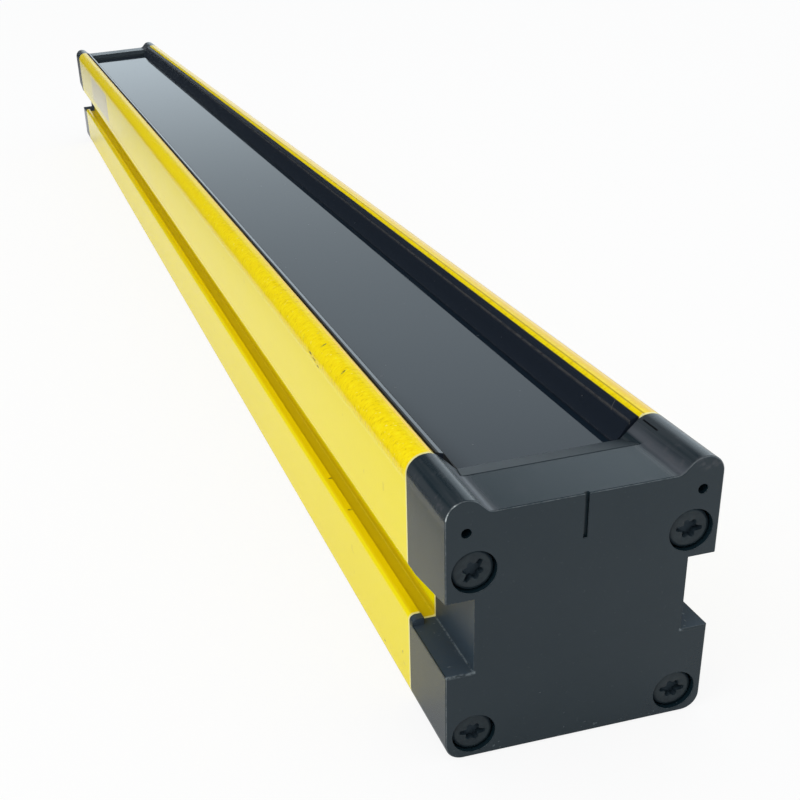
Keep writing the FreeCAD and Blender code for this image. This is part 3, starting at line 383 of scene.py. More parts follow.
def yellow_coat():
    """Powder coat in two yellows, with marks of use, saw and die, and painted light and shade on the lugs,
    in the groove and in the slots.
    """
    coat = Finish("yellow_powder_coat")
    side = abs(coat.x)
    left = coat.ramp(coat.x, 0.0, -1.0)
    handled = coat.ramp(coat.y, 60.0, -200.0)
    top = coat.ramp(coat.z, bar_height - 0.9, bar_height - 0.6)

    broad = coat.noise(28.0, 2.0)
    peel = coat.noise(1100.0, 2.0)
    uneven = coat.noise(900.0, 2.0, 0.6)
    drawn = coat.noise(1.0, 2.0, 0.5, coat.stretched(1500.0, 6.0, 1500.0))
    rubbed = coat.noise(1.0, 4.0, 0.75, coat.stretched(640.0, 1500.0, 640.0, 0.45))
    slanted = coat.noise(1.0, 1.0, 0.5, coat.stretched(900.0, 1900.0, 900.0, 0.7))
    ragged = coat.ramp(coat.noise(1500.0, 3.0, 0.7), 0.36, 0.52)
    speck = coat.ramp(coat.noise(330.0, 1.0), 0.765, 0.80)

    # lug: where the coat turns a deeper yellow; that deeper yellow is partly painted shade, not only rubbed
    # coat.
    lug = coat.ramp(coat.z + uneven, 51.3, 52.1)
    fleck = coat.ramp(slanted, 0.70, 0.77) * lug
    dent = coat.band(coat.z, 50.0, 50.9, 52.2, 53.4) * handled
    # Painted highlight: a pale peach stripe along the inner edge of the left lug's top.
    painted_edge_highlight = coat.ramp(coat.x, -21.7, -21.1) * left * top
    # Painted shade: an orange tone on the outer round of the right lug.
    painted_shade_edge = coat.ramp(coat.x + uneven * 1.2, 22.0, 23.6) * coat.ramp(coat.z, 52.5, 54.0)
    # Painted shade along the fine groove on the right lug.
    line = coat.stripe(coat.x, groove_x, 0.34, 0.10) * top
    # Painted highlight: a small glint at the cut corner of the right lug, in the colour of bare metal.
    chip = coat.spot(coat.z, -312.4, 54.9, 0.4, 0.5) * coat.band(coat.x, 20.0, 20.2, 20.9, 21.2)
    marks = [coat.spot(coat.z, *scuff) for scuff in scuffs_on_wall]
    marks += [coat.spot(coat.x, *scuff) for scuff in scuffs_on_top]
    scuff = functools.reduce(Wire.higher_of, marks) * ragged * left

    # Painted shade on the top of the lower lip, under the slot's mouth.
    painted_lip_shade = (coat.ramp(side, half_width - 0.05, half_width - 0.4)
           * coat.band(coat.z, lower_lip - 0.3, lower_lip - 0.1, lower_lip + 0.1, lower_lip + 0.4))
    # Painted shade deep in the slots, on the floor and the low part of the back wall.
    painted_slot_shade = (coat.ramp(side, lip_inside + 0.3, lip_inside - 0.1)
             * coat.band(coat.z, slot_floor - 0.7, slot_floor - 0.1, lower_lip + 0.2, lower_lip + 2.0))
    # Painted light on the upper back wall of each slot, brighter and greener than the coat.
    painted_recess_light = (coat.ramp(side, slot_wall + 0.65, slot_wall + 0.35)
            * coat.band(coat.z, lower_lip - 0.2, lower_lip + 1.6, slot_roof + 0.1, slot_roof + 0.7))
    bare = coat.ramp(abs(coat.y), half_span - 0.70, half_span - 0.42)
    outside = coat.ramp(coat.x, 0.3 - half_width, 0.1 - half_width)
    faded = coat.ramp(coat.y, 256.0, 236.0) * 0.55 + 0.35
    field = coat.ramp(coat.y, 164.0, 169.0) * faded * coat.band(coat.z, 35.0, 37.2, 49.8, 51.8) * outside

    colour = coat.layered(
        coat.mixed(broad, (0.91, 0.755, 0.003), (0.95, 0.790, 0.005)),
        (lug, (0.95, 0.725, 0.0)),
        (coat.ramp(rubbed, 0.50, 0.64) * lug * 0.75, (1.0, 0.83, 0.006)),
        (coat.ramp(rubbed, 0.47, 0.33) * lug * handled * 0.75, (0.70, 0.48, 0.0)),
        (fleck * 0.7, (0.98, 0.90, 0.22)),
        (painted_shade_edge * 0.75, (0.88, 0.55, 0.02)),
        (line * 0.85, (0.50, 0.35, 0.0)),
        (speck * 0.22, (0.50, 0.38, 0.02)),
        (painted_slot_shade * 0.75, (0.58, 0.43, 0.002)),
        (painted_lip_shade * 0.8, (0.80, 0.58, 0.0)),
        (painted_recess_light * 0.8, (0.98, 0.88, 0.0)),
        (painted_edge_highlight * 0.75, (0.97, 0.70, 0.22)),
        (field, (0.60, 0.54, 0.34)),
        (scuff * 0.9, (0.07, 0.055, 0.012)),
        ((bare * 0.8).higher_of(chip), (0.97, 0.92, 0.46)))
    rough = 0.13 + broad * 0.05 + lug * (rubbed * 0.08) + scuff * 0.3 + painted_slot_shade * 0.2
    height = peel * 0.55 + drawn * 0.12 + lug * rubbed * (0.2 + handled) + dent * uneven * 6.0 - scuff * 0.8
    return coat.close(Base_Color=colour, Roughness=rough, Metallic=bare * 0.2, IOR=1.27,
                      Normal=coat.bumped(height, 0.022))


housing_finish = yellow_coat()

# %% [markdown]
# # The housing profile
# The real profile is pressed through a die, so it has the same section
# everywhere: a channel that is open to the front, a slot with two lips in each
# side for sliding nuts, guides for the boards inside and four screw ports. One
# outline carried along the bar gives exactly that. The outline shrinks a little
# at both ends, which is the trimmed edge of the saw cut.

# %% Housing
inner_wall, guide_wall, back_wall = 16.5, 17.5, 3.0
guide_top, low_guide_top, guide_height = 26.0, 14.0, 2.0
housing_right = [
    (half_width, 0.0, 3.5),
    (half_width, lower_lip, 1.2),
    (lip_inside, lower_lip, 0.25),
    (lip_inside, slot_floor, 0.2),
    (slot_wall, slot_floor, 0.4),
    (slot_wall, slot_roof, 0.4),
    (lip_inside, slot_roof, 0.2),
    (lip_inside, upper_lip, 0.25),
    (half_width, upper_lip, 0.5),
    (half_width, bar_height, 3.7),
    (groove_x + 0.12, bar_height, 0.05),
    (groove_x, bar_height - 0.13, 0.03),
    (groove_x - 0.12, bar_height, 0.05),
    (seat + 0.7, bar_height, 0.1),
    (seat, bar_height - 0.7, 0.15),
    (seat, barb_high, 0.0),
    (barb_reach, barb_high, 0.0),
    (barb_reach, barb_low, 0.0),
    (seat, barb_low, 0.0),
    (seat, shoulder, 0.0),
    (inner_wall, shoulder, 0.3),
    (inner_wall, guide_top, 0.2),
    (guide_wall, guide_top, 0.0),
    (guide_wall, guide_top - guide_height, 0.0),
    (inner_wall, guide_top - guide_height, 0.2),
    (inner_wall, low_guide_top, 0.2),
    (guide_wall, low_guide_top, 0.0),
    (guide_wall, low_guide_top - guide_height, 0.0),
    (inner_wall, low_guide_top - guide_height, 0.2),
    (inner_wall, back_wall, 1.0),
]
housing_loop = rounded(mirror_outline(housing_right))
cut_edge = 0.12
port_radius = 1.9
ports = [round_hole(side * x, z, port_radius) for x, z in (upper_screw, lower_screw) for side in (1, -1)]
parts = [carried(housing_loop, [(-half_span, cut_edge), (-half_span + cut_edge, 0.0),
                                (half_span - cut_edge, 0.0), (half_span, cut_edge)])]
parts += [carried(port, [(-half_span, 0.0), (half_span, 0.0)]) for port in ports]
parts += [end_plate([inset(housing_loop, cut_edge)] + ports, y) for y in (-half_span, half_span)]
lay("housing_body", parts, housing_finish, "housing_profile")

# %% [markdown]
# # Glossy black plastic of the side trims
# The trims that clip in along both edges of the window are extruded plastic.
# They are smooth enough to show the room as a soft gradient, with long faint
# lines that the die leaves along them. The ridge of the right one is rubbed
# grey, and a slanting scratch crosses it near the cap.

# %% Finish of the trims
def trim_plastic():
    """Near black plastic with faint drawn lines, dust, a rubbed ridge, and matt outer edges and a matt line
    by the left ridge darkened as painted shade.
    """
    trim = Finish("black_trim_plastic")
    side = abs(trim.x)
    right = trim.ramp(trim.x, 0.0, 1.0)
    drawn = trim.noise(1.0, 2.0, 0.5, trim.stretched(2600.0, 5.0, 2600.0))
    cloud = trim.noise(70.0, 3.0)
    dust = trim.ramp(trim.noise(900.0, 1.0), 0.77, 0.82)
    ragged = trim.ramp(trim.noise(1.0, 3.0, 0.6, trim.stretched(1500.0, 400.0, 1500.0)), 0.30, 0.70)
    ridge = trim.stripe(side, 18.35, 0.26, 0.026) * trim.ramp(trim.z, 53.5, 54.0)
    foot = trim.ramp(trim.z, window_top + 0.8, window_top + 0.2)
    slant = trim.stripe(trim.y - trim.x * 1.011, -323.86, 0.16, 0.06) * trim.ramp(trim.z, 53.8, 54.2)
    rubbed = ((0.55 + ragged * 0.45) * ridge * 0.55 + slant * 0.5) * right + ragged * foot * 0.12
    # Painted shade: the outer edge beside the lug and a line beside the left trim's ridge are darkened.
    painted_shade_edge = trim.ramp(side + (1.0 - right) * 0.4, seat - 0.5, seat - 0.3)
    painted_shade_edge = painted_shade_edge.higher_of(trim.ramp(trim.x, -18.72, -18.60) * (1.0 - right))
    colour = trim.layered(
        (0.011, 0.016, 0.025),
        (dust * 0.25, (0.16, 0.16, 0.15)),
        (rubbed, (0.095, 0.090, 0.082)),
        (painted_shade_edge, (0.006, 0.007, 0.008)))
    rough = 0.13 + cloud * 0.08 + dust * 0.2 + rubbed * 0.3 + painted_shade_edge * 0.5
    return trim.close(Base_Color=colour, Roughness=rough, IOR=1.5,
                      Normal=trim.bumped(drawn * 0.5 + cloud * 0.5, 0.006))


trim_finish = trim_plastic()

# %% [markdown]
# # The side trims
# Each trim stands on the edge of the window, hooks into the lug with a barb and
# turns a hollow flank to the window. The hollow is the large radius in the
# outline. The left trim is the right one seen in a mirror, so its outline is
# the same list with x reversed and read backwards.

# %% Trims
trim_reach = half_span - 0.4
trim_back = seat - 0.1
trim_step = 18.55
trim_foot = 15.4
barb_play = 0.2
trim_right = np.array([
    (trim_step, shoulder, 0.1),
    (trim_back, shoulder, 0.1),
    (trim_back, barb_low + barb_play, 0.0),
    (barb_reach - barb_play, barb_low + barb_play, 0.1),
    (barb_reach - barb_play, barb_high - barb_play, 0.1),
    (trim_back, barb_high - barb_play, 0.0),
    (trim_back, bar_height - 0.3, 0.15),
    (18.5, 54.65, 0.7),
    (16.6, window_top + 1.45, 6.0),
    (trim_foot, window_top + 0.3, 0.12),
    (trim_foot, window_top, 0.0),
    (trim_step, window_top, 0.0),
])
trim_left = trim_right[::-1] * np.array([-1.0, 1.0, 1.0])
for side, corners in (("right", trim_right), ("left", trim_left)):
    outline = rounded(corners, 13)
    parts = [carried(outline, [(-trim_reach, 0.0), (trim_reach, 0.0)])]
    parts += [end_plate([outline], y) for y in (-trim_reach, trim_reach)]
    lay(side + "_trim_strip", parts, trim_finish, side + "_window_trim")

# %% [markdown]
# # Black plastic of the end caps
# The caps are moulded in a hard black plastic with a fine satin grain. Seen
# flat on it is nearly black, and seen at a low angle it turns grey, which the
# shader does by itself. The upper faces and the valley are also painted lighter
# as painted light, and the rims carry painted highlights. The cap has lain on
# benches, so its lower edges and the notches carry pale dust and short scratches.

# %% Finish of the caps
def cap_plastic():
    """Satin black plastic, worn low down and in the notches, paler in its hollows, with painted light on its
    upper faces and valley and painted highlights on its rims.
    """
    cap = Finish("black_cap_plastic")
    side = abs(cap.x)
    behind = half_length - abs(cap.y)

    grain = cap.noise(2600.0, 2.0)
    cloud = cap.noise(60.0, 4.0, 0.6)
    streaks = cap.noise(1.0, 2.0, 0.5, cap.stretched(520.0, 22.0, 520.0))
    dust = cap.ramp(cap.noise(1100.0, 1.0), 0.70, 0.78)
    nick = cap.ramp(cap.noise(1.0, 3.0, 0.7, cap.stretched(900.0, 260.0, 1500.0)), 0.66, 0.74)
    ragged = cap.ramp(cap.noise(1400.0, 3.0, 0.7), 0.40, 0.60)
    lumps = cap.ramp(cap.noise(420.0, 1.0), 0.50, 0.62)

    low = cap.ramp(cap.z, 3.5, 0.0)
    notch = (cap.ramp(side, slot_wall - 0.25, slot_wall + 0.25)
             * cap.band(cap.z, slot_floor - 0.7, slot_floor - 0.1, slot_floor + 0.5, slot_floor + 3.0))
    worn = (dust * 0.35 + nick * 0.5) * (notch * 0.9 + low * 0.8 + 0.06)
    hollow = (cap.band(side, 20.2, 20.5, half_width - 0.3, half_width - 0.1)
              * cap.band(cap.z, 19.0, 19.3, 35.0, 35.4) * cap.ramp(behind, 0.08, 0.20))
    corner = cap.stripe(side, slot_wall, 0.42, 0.12) * cap.stripe(cap.z, slot_floor, 0.42, 0.12)
    sill = cap.ramp(behind, 0.5, 0.2) * notch * cap.ramp(cap.z, 20.0, 19.7) * lumps
    # Painted highlights: a paler line along the front rims and glints on the outer arc of the left lug.
    painted_rim_highlight = cap.band(behind, 0.01, 0.07, 0.13, 0.22)
    arcs = cap.band(cap.z, 52.0, 52.3, 53.6, 53.9) + cap.band(cap.z, 54.3, 54.5, 55.0, 55.2)
    glint = painted_rim_highlight * cap.ramp(cap.x, -21.2, -21.8) * arcs
    patch = cap.ramp(cap.noise(240.0, 3.0, 0.65), 0.55, 0.68) * cap.ramp(cap.z, 52.2, 53.5)
    # Painted light: the upper faces above the window are lighter, with streaks.
    painted_upper_light = cap.ramp(cap.z, 50.0, 50.8) * cap.ramp(side, 15.0, 16.5) * cap.ramp(behind, 0.05, 0.20)
    # Painted highlight along the crease of the valley.
    painted_crease_light = cap.ramp(cap.z, 52.4, 52.9) * cap.band(side, 15.6, 17.2, 18.0, 20.0) * painted_upper_light
    score = (cap.stripe(cap.x, seat, 0.22, 0.06) * cap.ramp(cap.z, 54.0, 54.4)
             * cap.band(cap.y, -319.0, -318.6, -313.8, -313.4))

    colour = cap.layered(
        cap.mixed(cloud, (0.0040, 0.0140, 0.0210), (0.0090, 0.0200, 0.0270)),
        (painted_upper_light * (0.2 + cap.ramp(streaks, 0.36, 0.62) * 0.8), (0.036, 0.045, 0.052)),
        (painted_crease_light * (0.5 + streaks * 0.9), (0.088, 0.098, 0.115)),
        (hollow * (0.6 + cloud * 0.6), (0.038, 0.058, 0.078)),
        (patch * 0.35, (0.095, 0.095, 0.105)),
        (score, (0.002, 0.003, 0.004)),
        ((painted_rim_highlight * (0.35 + ragged * 0.4)).lower_of(1.0), (0.13, 0.15, 0.16)),
        ((worn + (corner * 0.6 + sill * 0.5) * ragged).lower_of(1.0), (0.20, 0.24, 0.26)),
        (glint * (0.2 + ragged * 0.6), (0.62, 0.68, 0.68)))
    rough = 0.20 + cloud * 0.10 + worn * 0.2 + notch * 0.25 + hollow * 0.2 + painted_crease_light * 0.2 + painted_rim_highlight * 0.2
    height = grain * 0.8 - nick * (notch + low) * 0.6
    return cap.close(Base_Color=colour, Roughness=rough, IOR=1.43, Normal=cap.bumped(height, 0.012))


cap_finish = cap_plastic()

# %% [markdown]
# # The end caps
# A cap is a moulding with many cut-outs: the notches that let a nut into the
# slots, screw recesses, a valley across the top and a plug that fills the
# bar. All of that is already in the measured solid. So a copy of the solid is
# merged from its loose triangles, its flat areas are joined again, and a small
# bevel rounds its edges, because rounded edges are what catches the light.

# %% Caps
ease_width = 0.42
lesser_weight = 0.42
least_angle = math.radians(28)
corner_x, corner_y = (half_width - 0.05) * MM, (half_length - 0.05) * MM


def eased_copy(name, finish, node):
    """A merged copy of a solid whose edges are rounded by a bevel.

    The upright corner edges get its full width, and all other edges that are
    sharper than the least angle get a lesser share.
    """
    mesh = nodes[node].data.copy()
    mesh.name = name
    made = bmesh.new()
    made.from_mesh(mesh)
    bmesh.ops.remove_doubles(made, verts=made.verts, dist=2e-6)
    bmesh.ops.dissolve_limit(made, angle_limit=math.radians(0.8), verts=made.verts, edges=made.edges)
    bmesh.ops.recalc_face_normals(made, faces=made.faces)
    weight = made.edges.layers.float.new("bevel_weight_edge")
    for edge in made.edges:
        if edge.calc_face_angle(0.0) > least_angle:
            upright = all(abs(v.co.x) > corner_x and abs(v.co.y) > corner_y for v in edge.verts)
            edge[weight] = 1.0 if upright else lesser_weight
    made.to_mesh(mesh)
    made.free()
    mesh.materials.clear()
    mesh.materials.append(finish)
    mesh.shade_smooth()
    piece = bpy.data.objects.new(name, mesh)
    bpy.context.collection.objects.link(piece)
    ease = piece.modifiers.new("edges", "BEVEL")
    ease.width = ease_width * MM
    ease.segments = 3
    ease.limit_method = "WEIGHT"
    ease.use_clamp_overlap = True
    hand_over(piece, node)


for end in ("near", "far"):
    eased_copy(end + "_cap_moulding", cap_finish, end + "_end_cap")

# %% [markdown]
# # The strips at the window's ends
# A sloped strip bridges from the valley of each cap down to the window. It is a
# small wedge whose ends lean against the sloped sides of the lugs, so its
# section is drawn again at each step along the bar, a little lower every time.

# %% Finish and shape of the strips
strip_start, strip_ease = 14.1, 0.15
strip_high, strip_low = 52.5, 51.25
flank_top = 20.62    # X of a cap lug's slope where it would reach the top of the bar


def strip_plastic():
    """Dull dark grey plastic with a fine grain."""
    strip = Finish("grey_strip_plastic")
    cloud = strip.noise(120.0, 3.0)
    colour = strip.mixed(cloud, (0.018, 0.029, 0.037), (0.027, 0.039, 0.048))
    return strip.close(Base_Color=colour, Roughness=0.42 + cloud * 0.1, IOR=1.5,
                       Normal=strip.bumped(strip.noise(2200.0, 2.0), 0.006))


def flank_x(z):
    """X of the sloped side of a cap's lug at one height. It goes in by as much as it goes down."""
    return flank_top - (bar_height - z)


def strip_top(y):
    """Height of the strip behind the cap's face: a straight fall, less a quarter circle at each end."""
    fall = np.interp(y, [strip_start, cap_length], [strip_high, strip_low])
    short = np.clip(strip_ease - np.minimum(y - strip_start, cap_length - y), 0, strip_ease)
    return fall - (strip_ease - np.sqrt(strip_ease ** 2 - short ** 2))


strip_finish = strip_plastic()
quarter = strip_ease * (1 - np.cos(np.linspace(0, np.pi / 2, 6)))
stations = np.concatenate([strip_start + quarter, (cap_length - quarter)[::-1]])
for end, way in (("near", -1), ("far", 1)):
    rows = []
    for y, top in zip(stations, strip_top(stations)):
        corners = [(flank_x(window_top), window_top, 0.0), (flank_x(top), top, 0.12)]
        rows.append(at(rounded(mirror_outline(corners), 5), way * (half_length - y)))
    lay(end + "_end_strip", [closed_tube(np.stack(rows))], strip_finish, end + "_window_strip")

# %% [markdown]
# # Cap screws
# Each cap is held by four sunk black screws. Their socket is six-lobed, and a
# slot for a flat blade runs across it. A screw is a surface of turning: rows of
# radius and depth are swept round the axis. In the socket the radius is not
# constant: a cosine swells it six times per turn, which draws the lobes, and a
# high power of a cosine adds the two narrow ends of the slot.

# %% Finish and shape of the screws
screw_rows = np.array([    # radius, depth behind the head's face and how much the wave swells the radius
    (0.02, 1.55, 0.0), (0.9, 1.50, 0.10), (1.62, 1.42, 0.15), (1.66, 0.14, 0.16), (1.72, 0.03, 0.155),
    (1.78, 0.0, 0.145), (2.9, 0.0, 0.0), (3.25, 0.0, 0.0), (3.50, 0.05, 0.0), (3.74, 0.18, 0.0),
    (3.92, 0.40, 0.0), (4.0, 0.70, 0.0), (4.0, 2.8, 0.0), (1.6, 2.8, 0.0), (1.6, 28.6, 0.0),
    (1.1, 29.8, 0.0), (0.02, 29.8, 0.0)])


def black_steel():
    """Black oxide, with painted light down in the socket that makes it a little paler there."""
    steel = Finish("black_oxide_steel")
    cloud = steel.ramp(steel.noise(700.0, 4.0, 0.65), 0.35, 0.65)
    # Painted light down in the socket, paler than the head.
    painted_recess_light = steel.ramp(half_length - abs(steel.y), head_sink + 0.06, head_sink + 0.18)
    colour = steel.layered(
        steel.mixed(cloud, (0.002, 0.009, 0.014), (0.009, 0.019, 0.024)),
        (painted_recess_light, (0.016, 0.030, 0.042)))
    return steel.close(Base_Color=colour, Metallic=0.2, Roughness=0.34 + cloud * 0.12 + painted_recess_light * 0.2,
                       IOR=1.45, Normal=steel.bumped(cloud, 0.010))


def turned_screw(x, z, way, phase):
    """Rows of radius and depth swept round the screw's axis.

    A radius is scaled by 1 + swell * (cos(6 t) - 0.1 cos(12 t) + 2.3 * slot), where t is the
    turn plus the phase and slot is twice the power 60 of cos(t), cut off at 1.
    """
    turn = np.linspace(0, 2 * np.pi, 144, endpoint=False)
    place = turn + phase
    wave = np.cos(6 * place) - 0.1 * np.cos(12 * place) + 2.3 * np.minimum(1, 2 * np.cos(place) ** 60)
    radius = screw_rows[:, 0:1] * (1 + screw_rows[:, 2:3] * wave)
    y = way * (head_sink - half_length + screw_rows[:, 1:2])
    return closed_tube(np.stack([x + radius * np.cos(turn), np.broadcast_to(y, radius.shape),
                                 z + radius * np.sin(turn)], axis=-1))


screw_finish = black_steel()
phases = iter((2.21, 0.09, 0.09, 0.09, 0.6, 2.83, 1.9, 0.12))
for end, way in (("near", 1), ("far", -1)):
    parts = [turned_screw(side * x, z, way, next(phases))
             for x, z in (upper_screw, lower_screw) for side in (-1, 1)]
    lay(end + "_socket_screws", parts, screw_finish, end + "_cap_screws", 40.0)

# %% [markdown]
# # The round plug
# The far cap carries a threaded metal plug. Its thread is a surface of turning
# whose radius also depends on the height: the height divided by the pitch, less
# the share of a turn, gives a saw that climbs once per turn, and a triangle of
# that saw is the flank of the thread.

# %% Finish and shape of the plug
plug_z = 25.0
thread_radius, thread_depth, thread_pitch = 5.9, 0.55, 1.0
thread_start, thread_stop, thread_fade = 336.2, 343.4, 0.5


def nickel():
    """Satin metal with the fine rings that a lathe leaves."""
    metal = Finish("satin_nickel")
    cloud = metal.noise(240.0, 4.0)
    turned = metal.noise(1.0, 2.0, 0.5, metal.stretched(60.0, 5000.0, 60.0))
    colour = metal.mixed(cloud, (0.60, 0.585, 0.55), (0.70, 0.69, 0.66))
    return metal.close(Base_Color=colour, Metallic=1.0, Roughness=0.24 + cloud * 0.14,
                       Normal=metal.bumped(turned, 0.008))


def threaded(y, turn):
    """Outer radius less the depth times a triangle wave of y / pitch - turn, faded out at both ends."""
    wave = np.abs(((y / thread_pitch - turn / (2 * np.pi)) % 1.0) * 2 - 1)
    fade = np.clip((y - thread_start) / thread_fade, 0, 1) * np.clip((thread_stop - y) / thread_fade, 0, 1)
    return thread_radius - thread_depth * wave * fade


nickel_finish = nickel()
turn = np.linspace(0, 2 * np.pi, 64, endpoint=False)[None]
nose_y = np.linspace(thread_start, thread_stop, 66)[1:]
flange = [(5.6, 320.5), (6.75, 320.5), (6.9, 320.7), (6.9, 333.0), (8.8, 333.0), (9.0, 333.2), (9.0, 335.2),
          (8.8, 335.5), (5.35, 335.5), (5.3, thread_start)]
mouth = [(5.5, 343.8), (5.3, 344.0), (4.75, 344.0), (4.6, 343.8), (4.6, 329.0), (5.6, 329.0)]
rows = np.array(flange + [(thread_radius, y) for y in nose_y] + mouth)
radius = np.broadcast_to(rows[:, 0:1], (len(rows), turn.shape[1])).copy()
height = np.broadcast_to(rows[:, 1:2], radius.shape)
thread = slice(len(flange), len(flange) + len(nose_y))
radius[thread] = threaded(height[thread], turn)
plug_points = np.stack([radius * np.cos(turn), height, plug_z + radius * np.sin(turn)], axis=-1)
plug_points = np.concatenate([plug_points, plug_points[:1]])
lay("plug_shell", [(plug_points, grid_faces(*plug_points.shape[:2]))], nickel_finish,
    "connector_shell", 30.0)

# %% [markdown]
# # The window and the pieces behind it
# The window is a smoked sheet that looks black from outside and mirrors the
# room. What the sheet mirrors grows from a small share when it is seen square
# on to almost half at a very low angle, and that alone gives the long gradient
# along the bar. The pieces inside keep their measured shapes and get a finish
# each, so that they look right when the model is opened.

# %% Finishes for the solids that stay
def smoked_window():
    """Nearly black and very smooth, with a breath of haze and a few grains of dust."""
    window = Finish("smoked_window")
    cloud = window.noise(45.0, 4.0, 0.6)
    dust = window.ramp(window.noise(650.0, 1.0), 0.785, 0.82)
    colour = window.layered((0.0060, 0.0120, 0.0200), (dust * 0.35, (0.25, 0.26, 0.28)))
    rough = 0.03 + window.ramp(cloud, 0.35, 0.75) * 0.04 + dust * 0.3
    return window.close(Base_Color=colour, Roughness=rough, IOR=1.34, Normal=window.bumped(cloud, 0.004))


def plain_piece(name, dark, light, rough, grain, metallic=0.0, depth=0.010):
    """A finish with two tones, a roughness that wanders and a fine grain."""
    piece = Finish(name)
    cloud = piece.noise(150.0, 4.0, 0.6)
    fine = piece.noise(grain, 2.0)
    return piece.close(Base_Color=piece.mixed(cloud, dark, light), Roughness=rough + cloud * 0.12 - 0.06,
                       Metallic=metallic, Normal=piece.bumped(fine, depth))


def dress(finish, *names):
    """Put a finish on solids that keep their measured shape."""
    for name in names:
        for place in nodes[name].material_slots:
            place.link = "OBJECT"
            place.material = finish
    print(finish.name, "on", ", ".join(names))


foam = plain_piece("black_foam", (0.02, 0.02, 0.022), (0.035, 0.035, 0.038), 0.85, 1800.0, depth=0.060)
insert = plain_piece("black_insert", (0.016, 0.016, 0.018), (0.028, 0.028, 0.03), 0.5, 2200.0)
gilt = plain_piece("gilt_contact", (0.75, 0.52, 0.20), (0.86, 0.64, 0.28), 0.25, 2500.0, metallic=1.0)
carrier = plain_piece("matt_black_carrier", (0.012, 0.012, 0.013), (0.02, 0.02, 0.022), 0.65, 1600.0)
lens = plain_piece("dark_red_lens", (0.16, 0.008, 0.010), (0.22, 0.012, 0.014), 0.12, 800.0, depth=0.002)
board = plain_piece("green_board", (0.010, 0.075, 0.032), (0.016, 0.105, 0.045), 0.38, 1500.0)
chip = plain_piece("black_chip", (0.018, 0.018, 0.02), (0.032, 0.032, 0.034), 0.55, 2600.0)
display = plain_piece("display_block", (0.020, 0.021, 0.024), (0.030, 0.031, 0.035), 0.2, 1200.0)
film = plain_piece("amber_film", (0.34, 0.14, 0.025), (0.42, 0.19, 0.035), 0.3, 900.0)
lead = plain_piece("grey_lead", (0.035, 0.035, 0.038), (0.06, 0.06, 0.063), 0.5, 1400.0)

dress(smoked_window(), "front_window")
dress(foam, "left_window_seal", "right_window_seal", "near_cap_gasket", "far_cap_gasket", "connector_seal")
dress(insert, "connector_insert")
dress(gilt, "connector_contacts")
dress(nickel_finish, "connector_nut")
dress(carrier, "optics_carrier", "aperture_mask")
dress(lens, "lens_plates")
dress(board, "emitter_board", "main_board")
dress(chip, "light_elements", "board_parts")
dress(display, "status_display")
dress(film, "flat_cable")
dress(lead, "lead_bundle")

# %% [markdown]
# # Floor, light and camera
# The bar lies on a plain white floor in a bright room. Most of the light is
# even, from the world, and one large lamp from the upper left gives it a
# direction. A ray that the camera sends past the object meets plain white,
# which is the light path trick: it changes what is seen in the background and
# no light on the object. A gloss mirrors a room that is bright along the
# horizon and to the right and dim overhead and to the left, as beside a
# window, because black plastic and powder coat show their form by such an edge.
# For the same reason a gloss sees the white floor to the left only close to the
# bar, as if the sheet ended there.

# %% Floor
floor_reach, floor_z = 9.0, -0.0002


def pale_floor():
    """White paper, almost plain white to the camera, and dim to a gloss that sees it far to the left."""
    paper = Finish("white_floor")
    colour = paper.mixed(paper.noise(3.0, 2.0), (0.90, 0.90, 0.90), (0.93, 0.93, 0.93))
    plain = paper.node("ShaderNodeBsdfPrincipled", None, {"Base Color": colour, "Roughness": 0.9})
    white = paper.node("ShaderNodeEmission", None, {"Color": (1, 1, 1, 1), "Strength": 1.0})
    dim = paper.node("ShaderNodeEmission", None, {"Color": (0.6, 0.75, 0.9, 1), "Strength": 0.05})
    away = paper.ramp(paper.x, -58.0, -67.0) * paper.ramp(paper.y, -350.0, -338.0)
    mirrored = paper.blended(paper.ray("Is Glossy Ray") * away, plain, dim)
    seen = paper.blended(paper.ray("Is Camera Ray") * 0.88, mirrored, white)
    paper.node("ShaderNodeOutputMaterial", None, {"Surface": seen})
    return paper.material


floor_mesh = bpy.data.meshes.new("floor")
floor_corners = [(x * floor_reach, y * floor_reach, 0) for x, y in ((-1, -1), (1, -1), (1, 1), (-1, 1))]
floor_mesh.from_pydata(floor_corners, [], [(0, 1, 2, 3)])
floor_mesh.materials.append(pale_floor())
floor = bpy.data.objects.new("floor", floor_mesh)
floor.location.z = floor_z
bpy.context.collection.objects.link(floor)
print("floor:", 2 * floor_reach, "m wide")

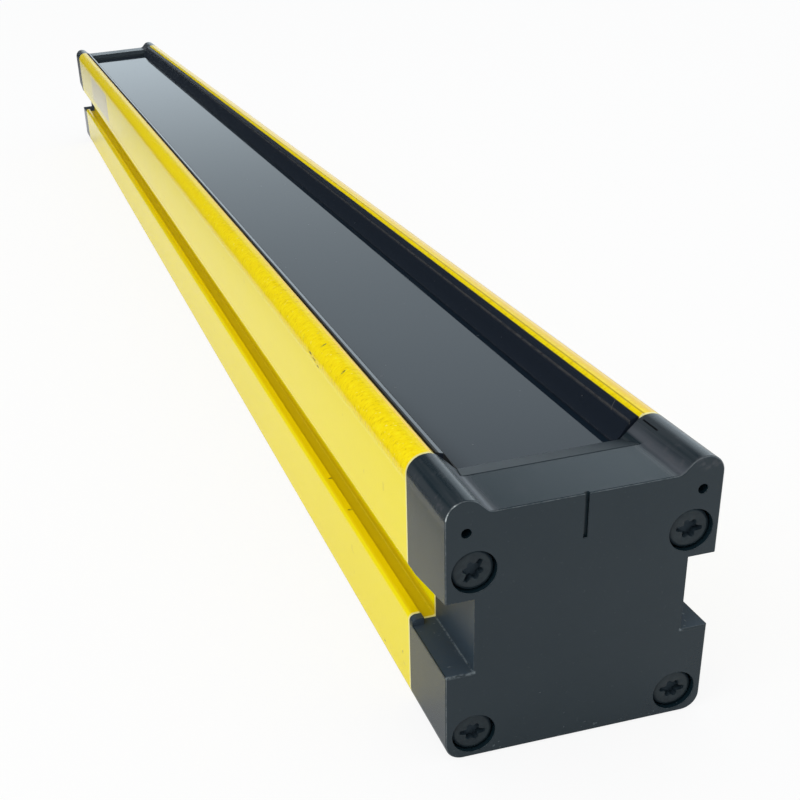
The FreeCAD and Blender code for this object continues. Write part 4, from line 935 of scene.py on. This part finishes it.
# %% World
def bright_room():
    """Plain white to the camera, a lopsided room to a gloss, and even light to everything else."""
    world = bpy.data.worlds.new("bright_room")
    room = Network(world)

    def light(colour, strength):
        return room.node("ShaderNodeBackground", None, {"Color": (*colour, 1.0), "Strength": strength})

    x, _, z = room.split(room.node("ShaderNodeTexCoord", output="Generated"))
    leaning = x - z * 0.9
    overhead = 0.93 + room.ramp(z, 0.26, 0.44) * 0.27
    beside = room.ramp(leaning, 0.05, 0.40) * 0.35
    horizon = room.ramp(z, 0.24, 0.10) * 0.30
    bright_side = light((0.80, 0.92, 1.0), overhead + beside + horizon)
    dark_side = light((0.70, 0.85, 1.0), 0.03)
    mirrored = room.blended(room.ramp(leaning, -0.125, -0.06), dark_side, bright_side)
    around = room.blended(room.ray("Is Glossy Ray"), light((0.96, 0.98, 1.0), 0.84), mirrored)
    direct = room.ray("Is Camera Ray").higher_of(room.ray("Is Transmission Ray"))
    seen = room.blended(direct, around, light((1.0, 1.0, 1.0), 1.0))
    room.node("ShaderNodeOutputWorld", None, {"Surface": seen})
    return world


bpy.context.scene.world = bright_room()
print("world:", bpy.context.scene.world.name)

# %% Lamp
def soft_lamp(name, place, aim, size, watts):
    """A square area lamp that looks from one point at another."""
    light = bpy.data.lights.new(name, "AREA")
    light.size = size
    light.energy = watts
    lamp = bpy.data.objects.new(name, light)
    lamp.location = place
    lamp.rotation_euler = (Vector(aim) - Vector(place)).to_track_quat("-Z", "Y").to_euler()
    bpy.context.collection.objects.link(lamp)
    print(name, "of", watts, "W")


soft_lamp("upper_left_lamp", (-1.3, -0.9, 1.6), (0, 0, 0.03), 1.2, 11.0)

# %% Camera
# The place in millimetres and the three directions put the camera where the
# photograph was taken from.
camera_place = Vector((-88.80, -495.87, 152.26))
right = Vector((0.972585, -0.216898, -0.083861))
down = Vector((-0.174398, -0.441762, -0.880018))
forward = Vector((0.153827, 0.870518, -0.467475))
camera_data = bpy.data.cameras.new("camera")
camera_data.sensor_width = 36.0
camera_data.lens = 53.13
camera_data.shift_x = 0.1954
camera_data.shift_y = 0.1178
camera_data.clip_start = 0.01
camera = bpy.data.objects.new("camera", camera_data)
turned = Matrix((right, -down, -forward)).transposed()
camera.matrix_world = Matrix.Translation(camera_place * MM) @ turned.to_4x4()
bpy.context.collection.objects.link(camera)
bpy.context.scene.camera = camera
bpy.context.scene.view_settings.view_transform = "Standard"
print("camera at", list(camera_place), "mm")
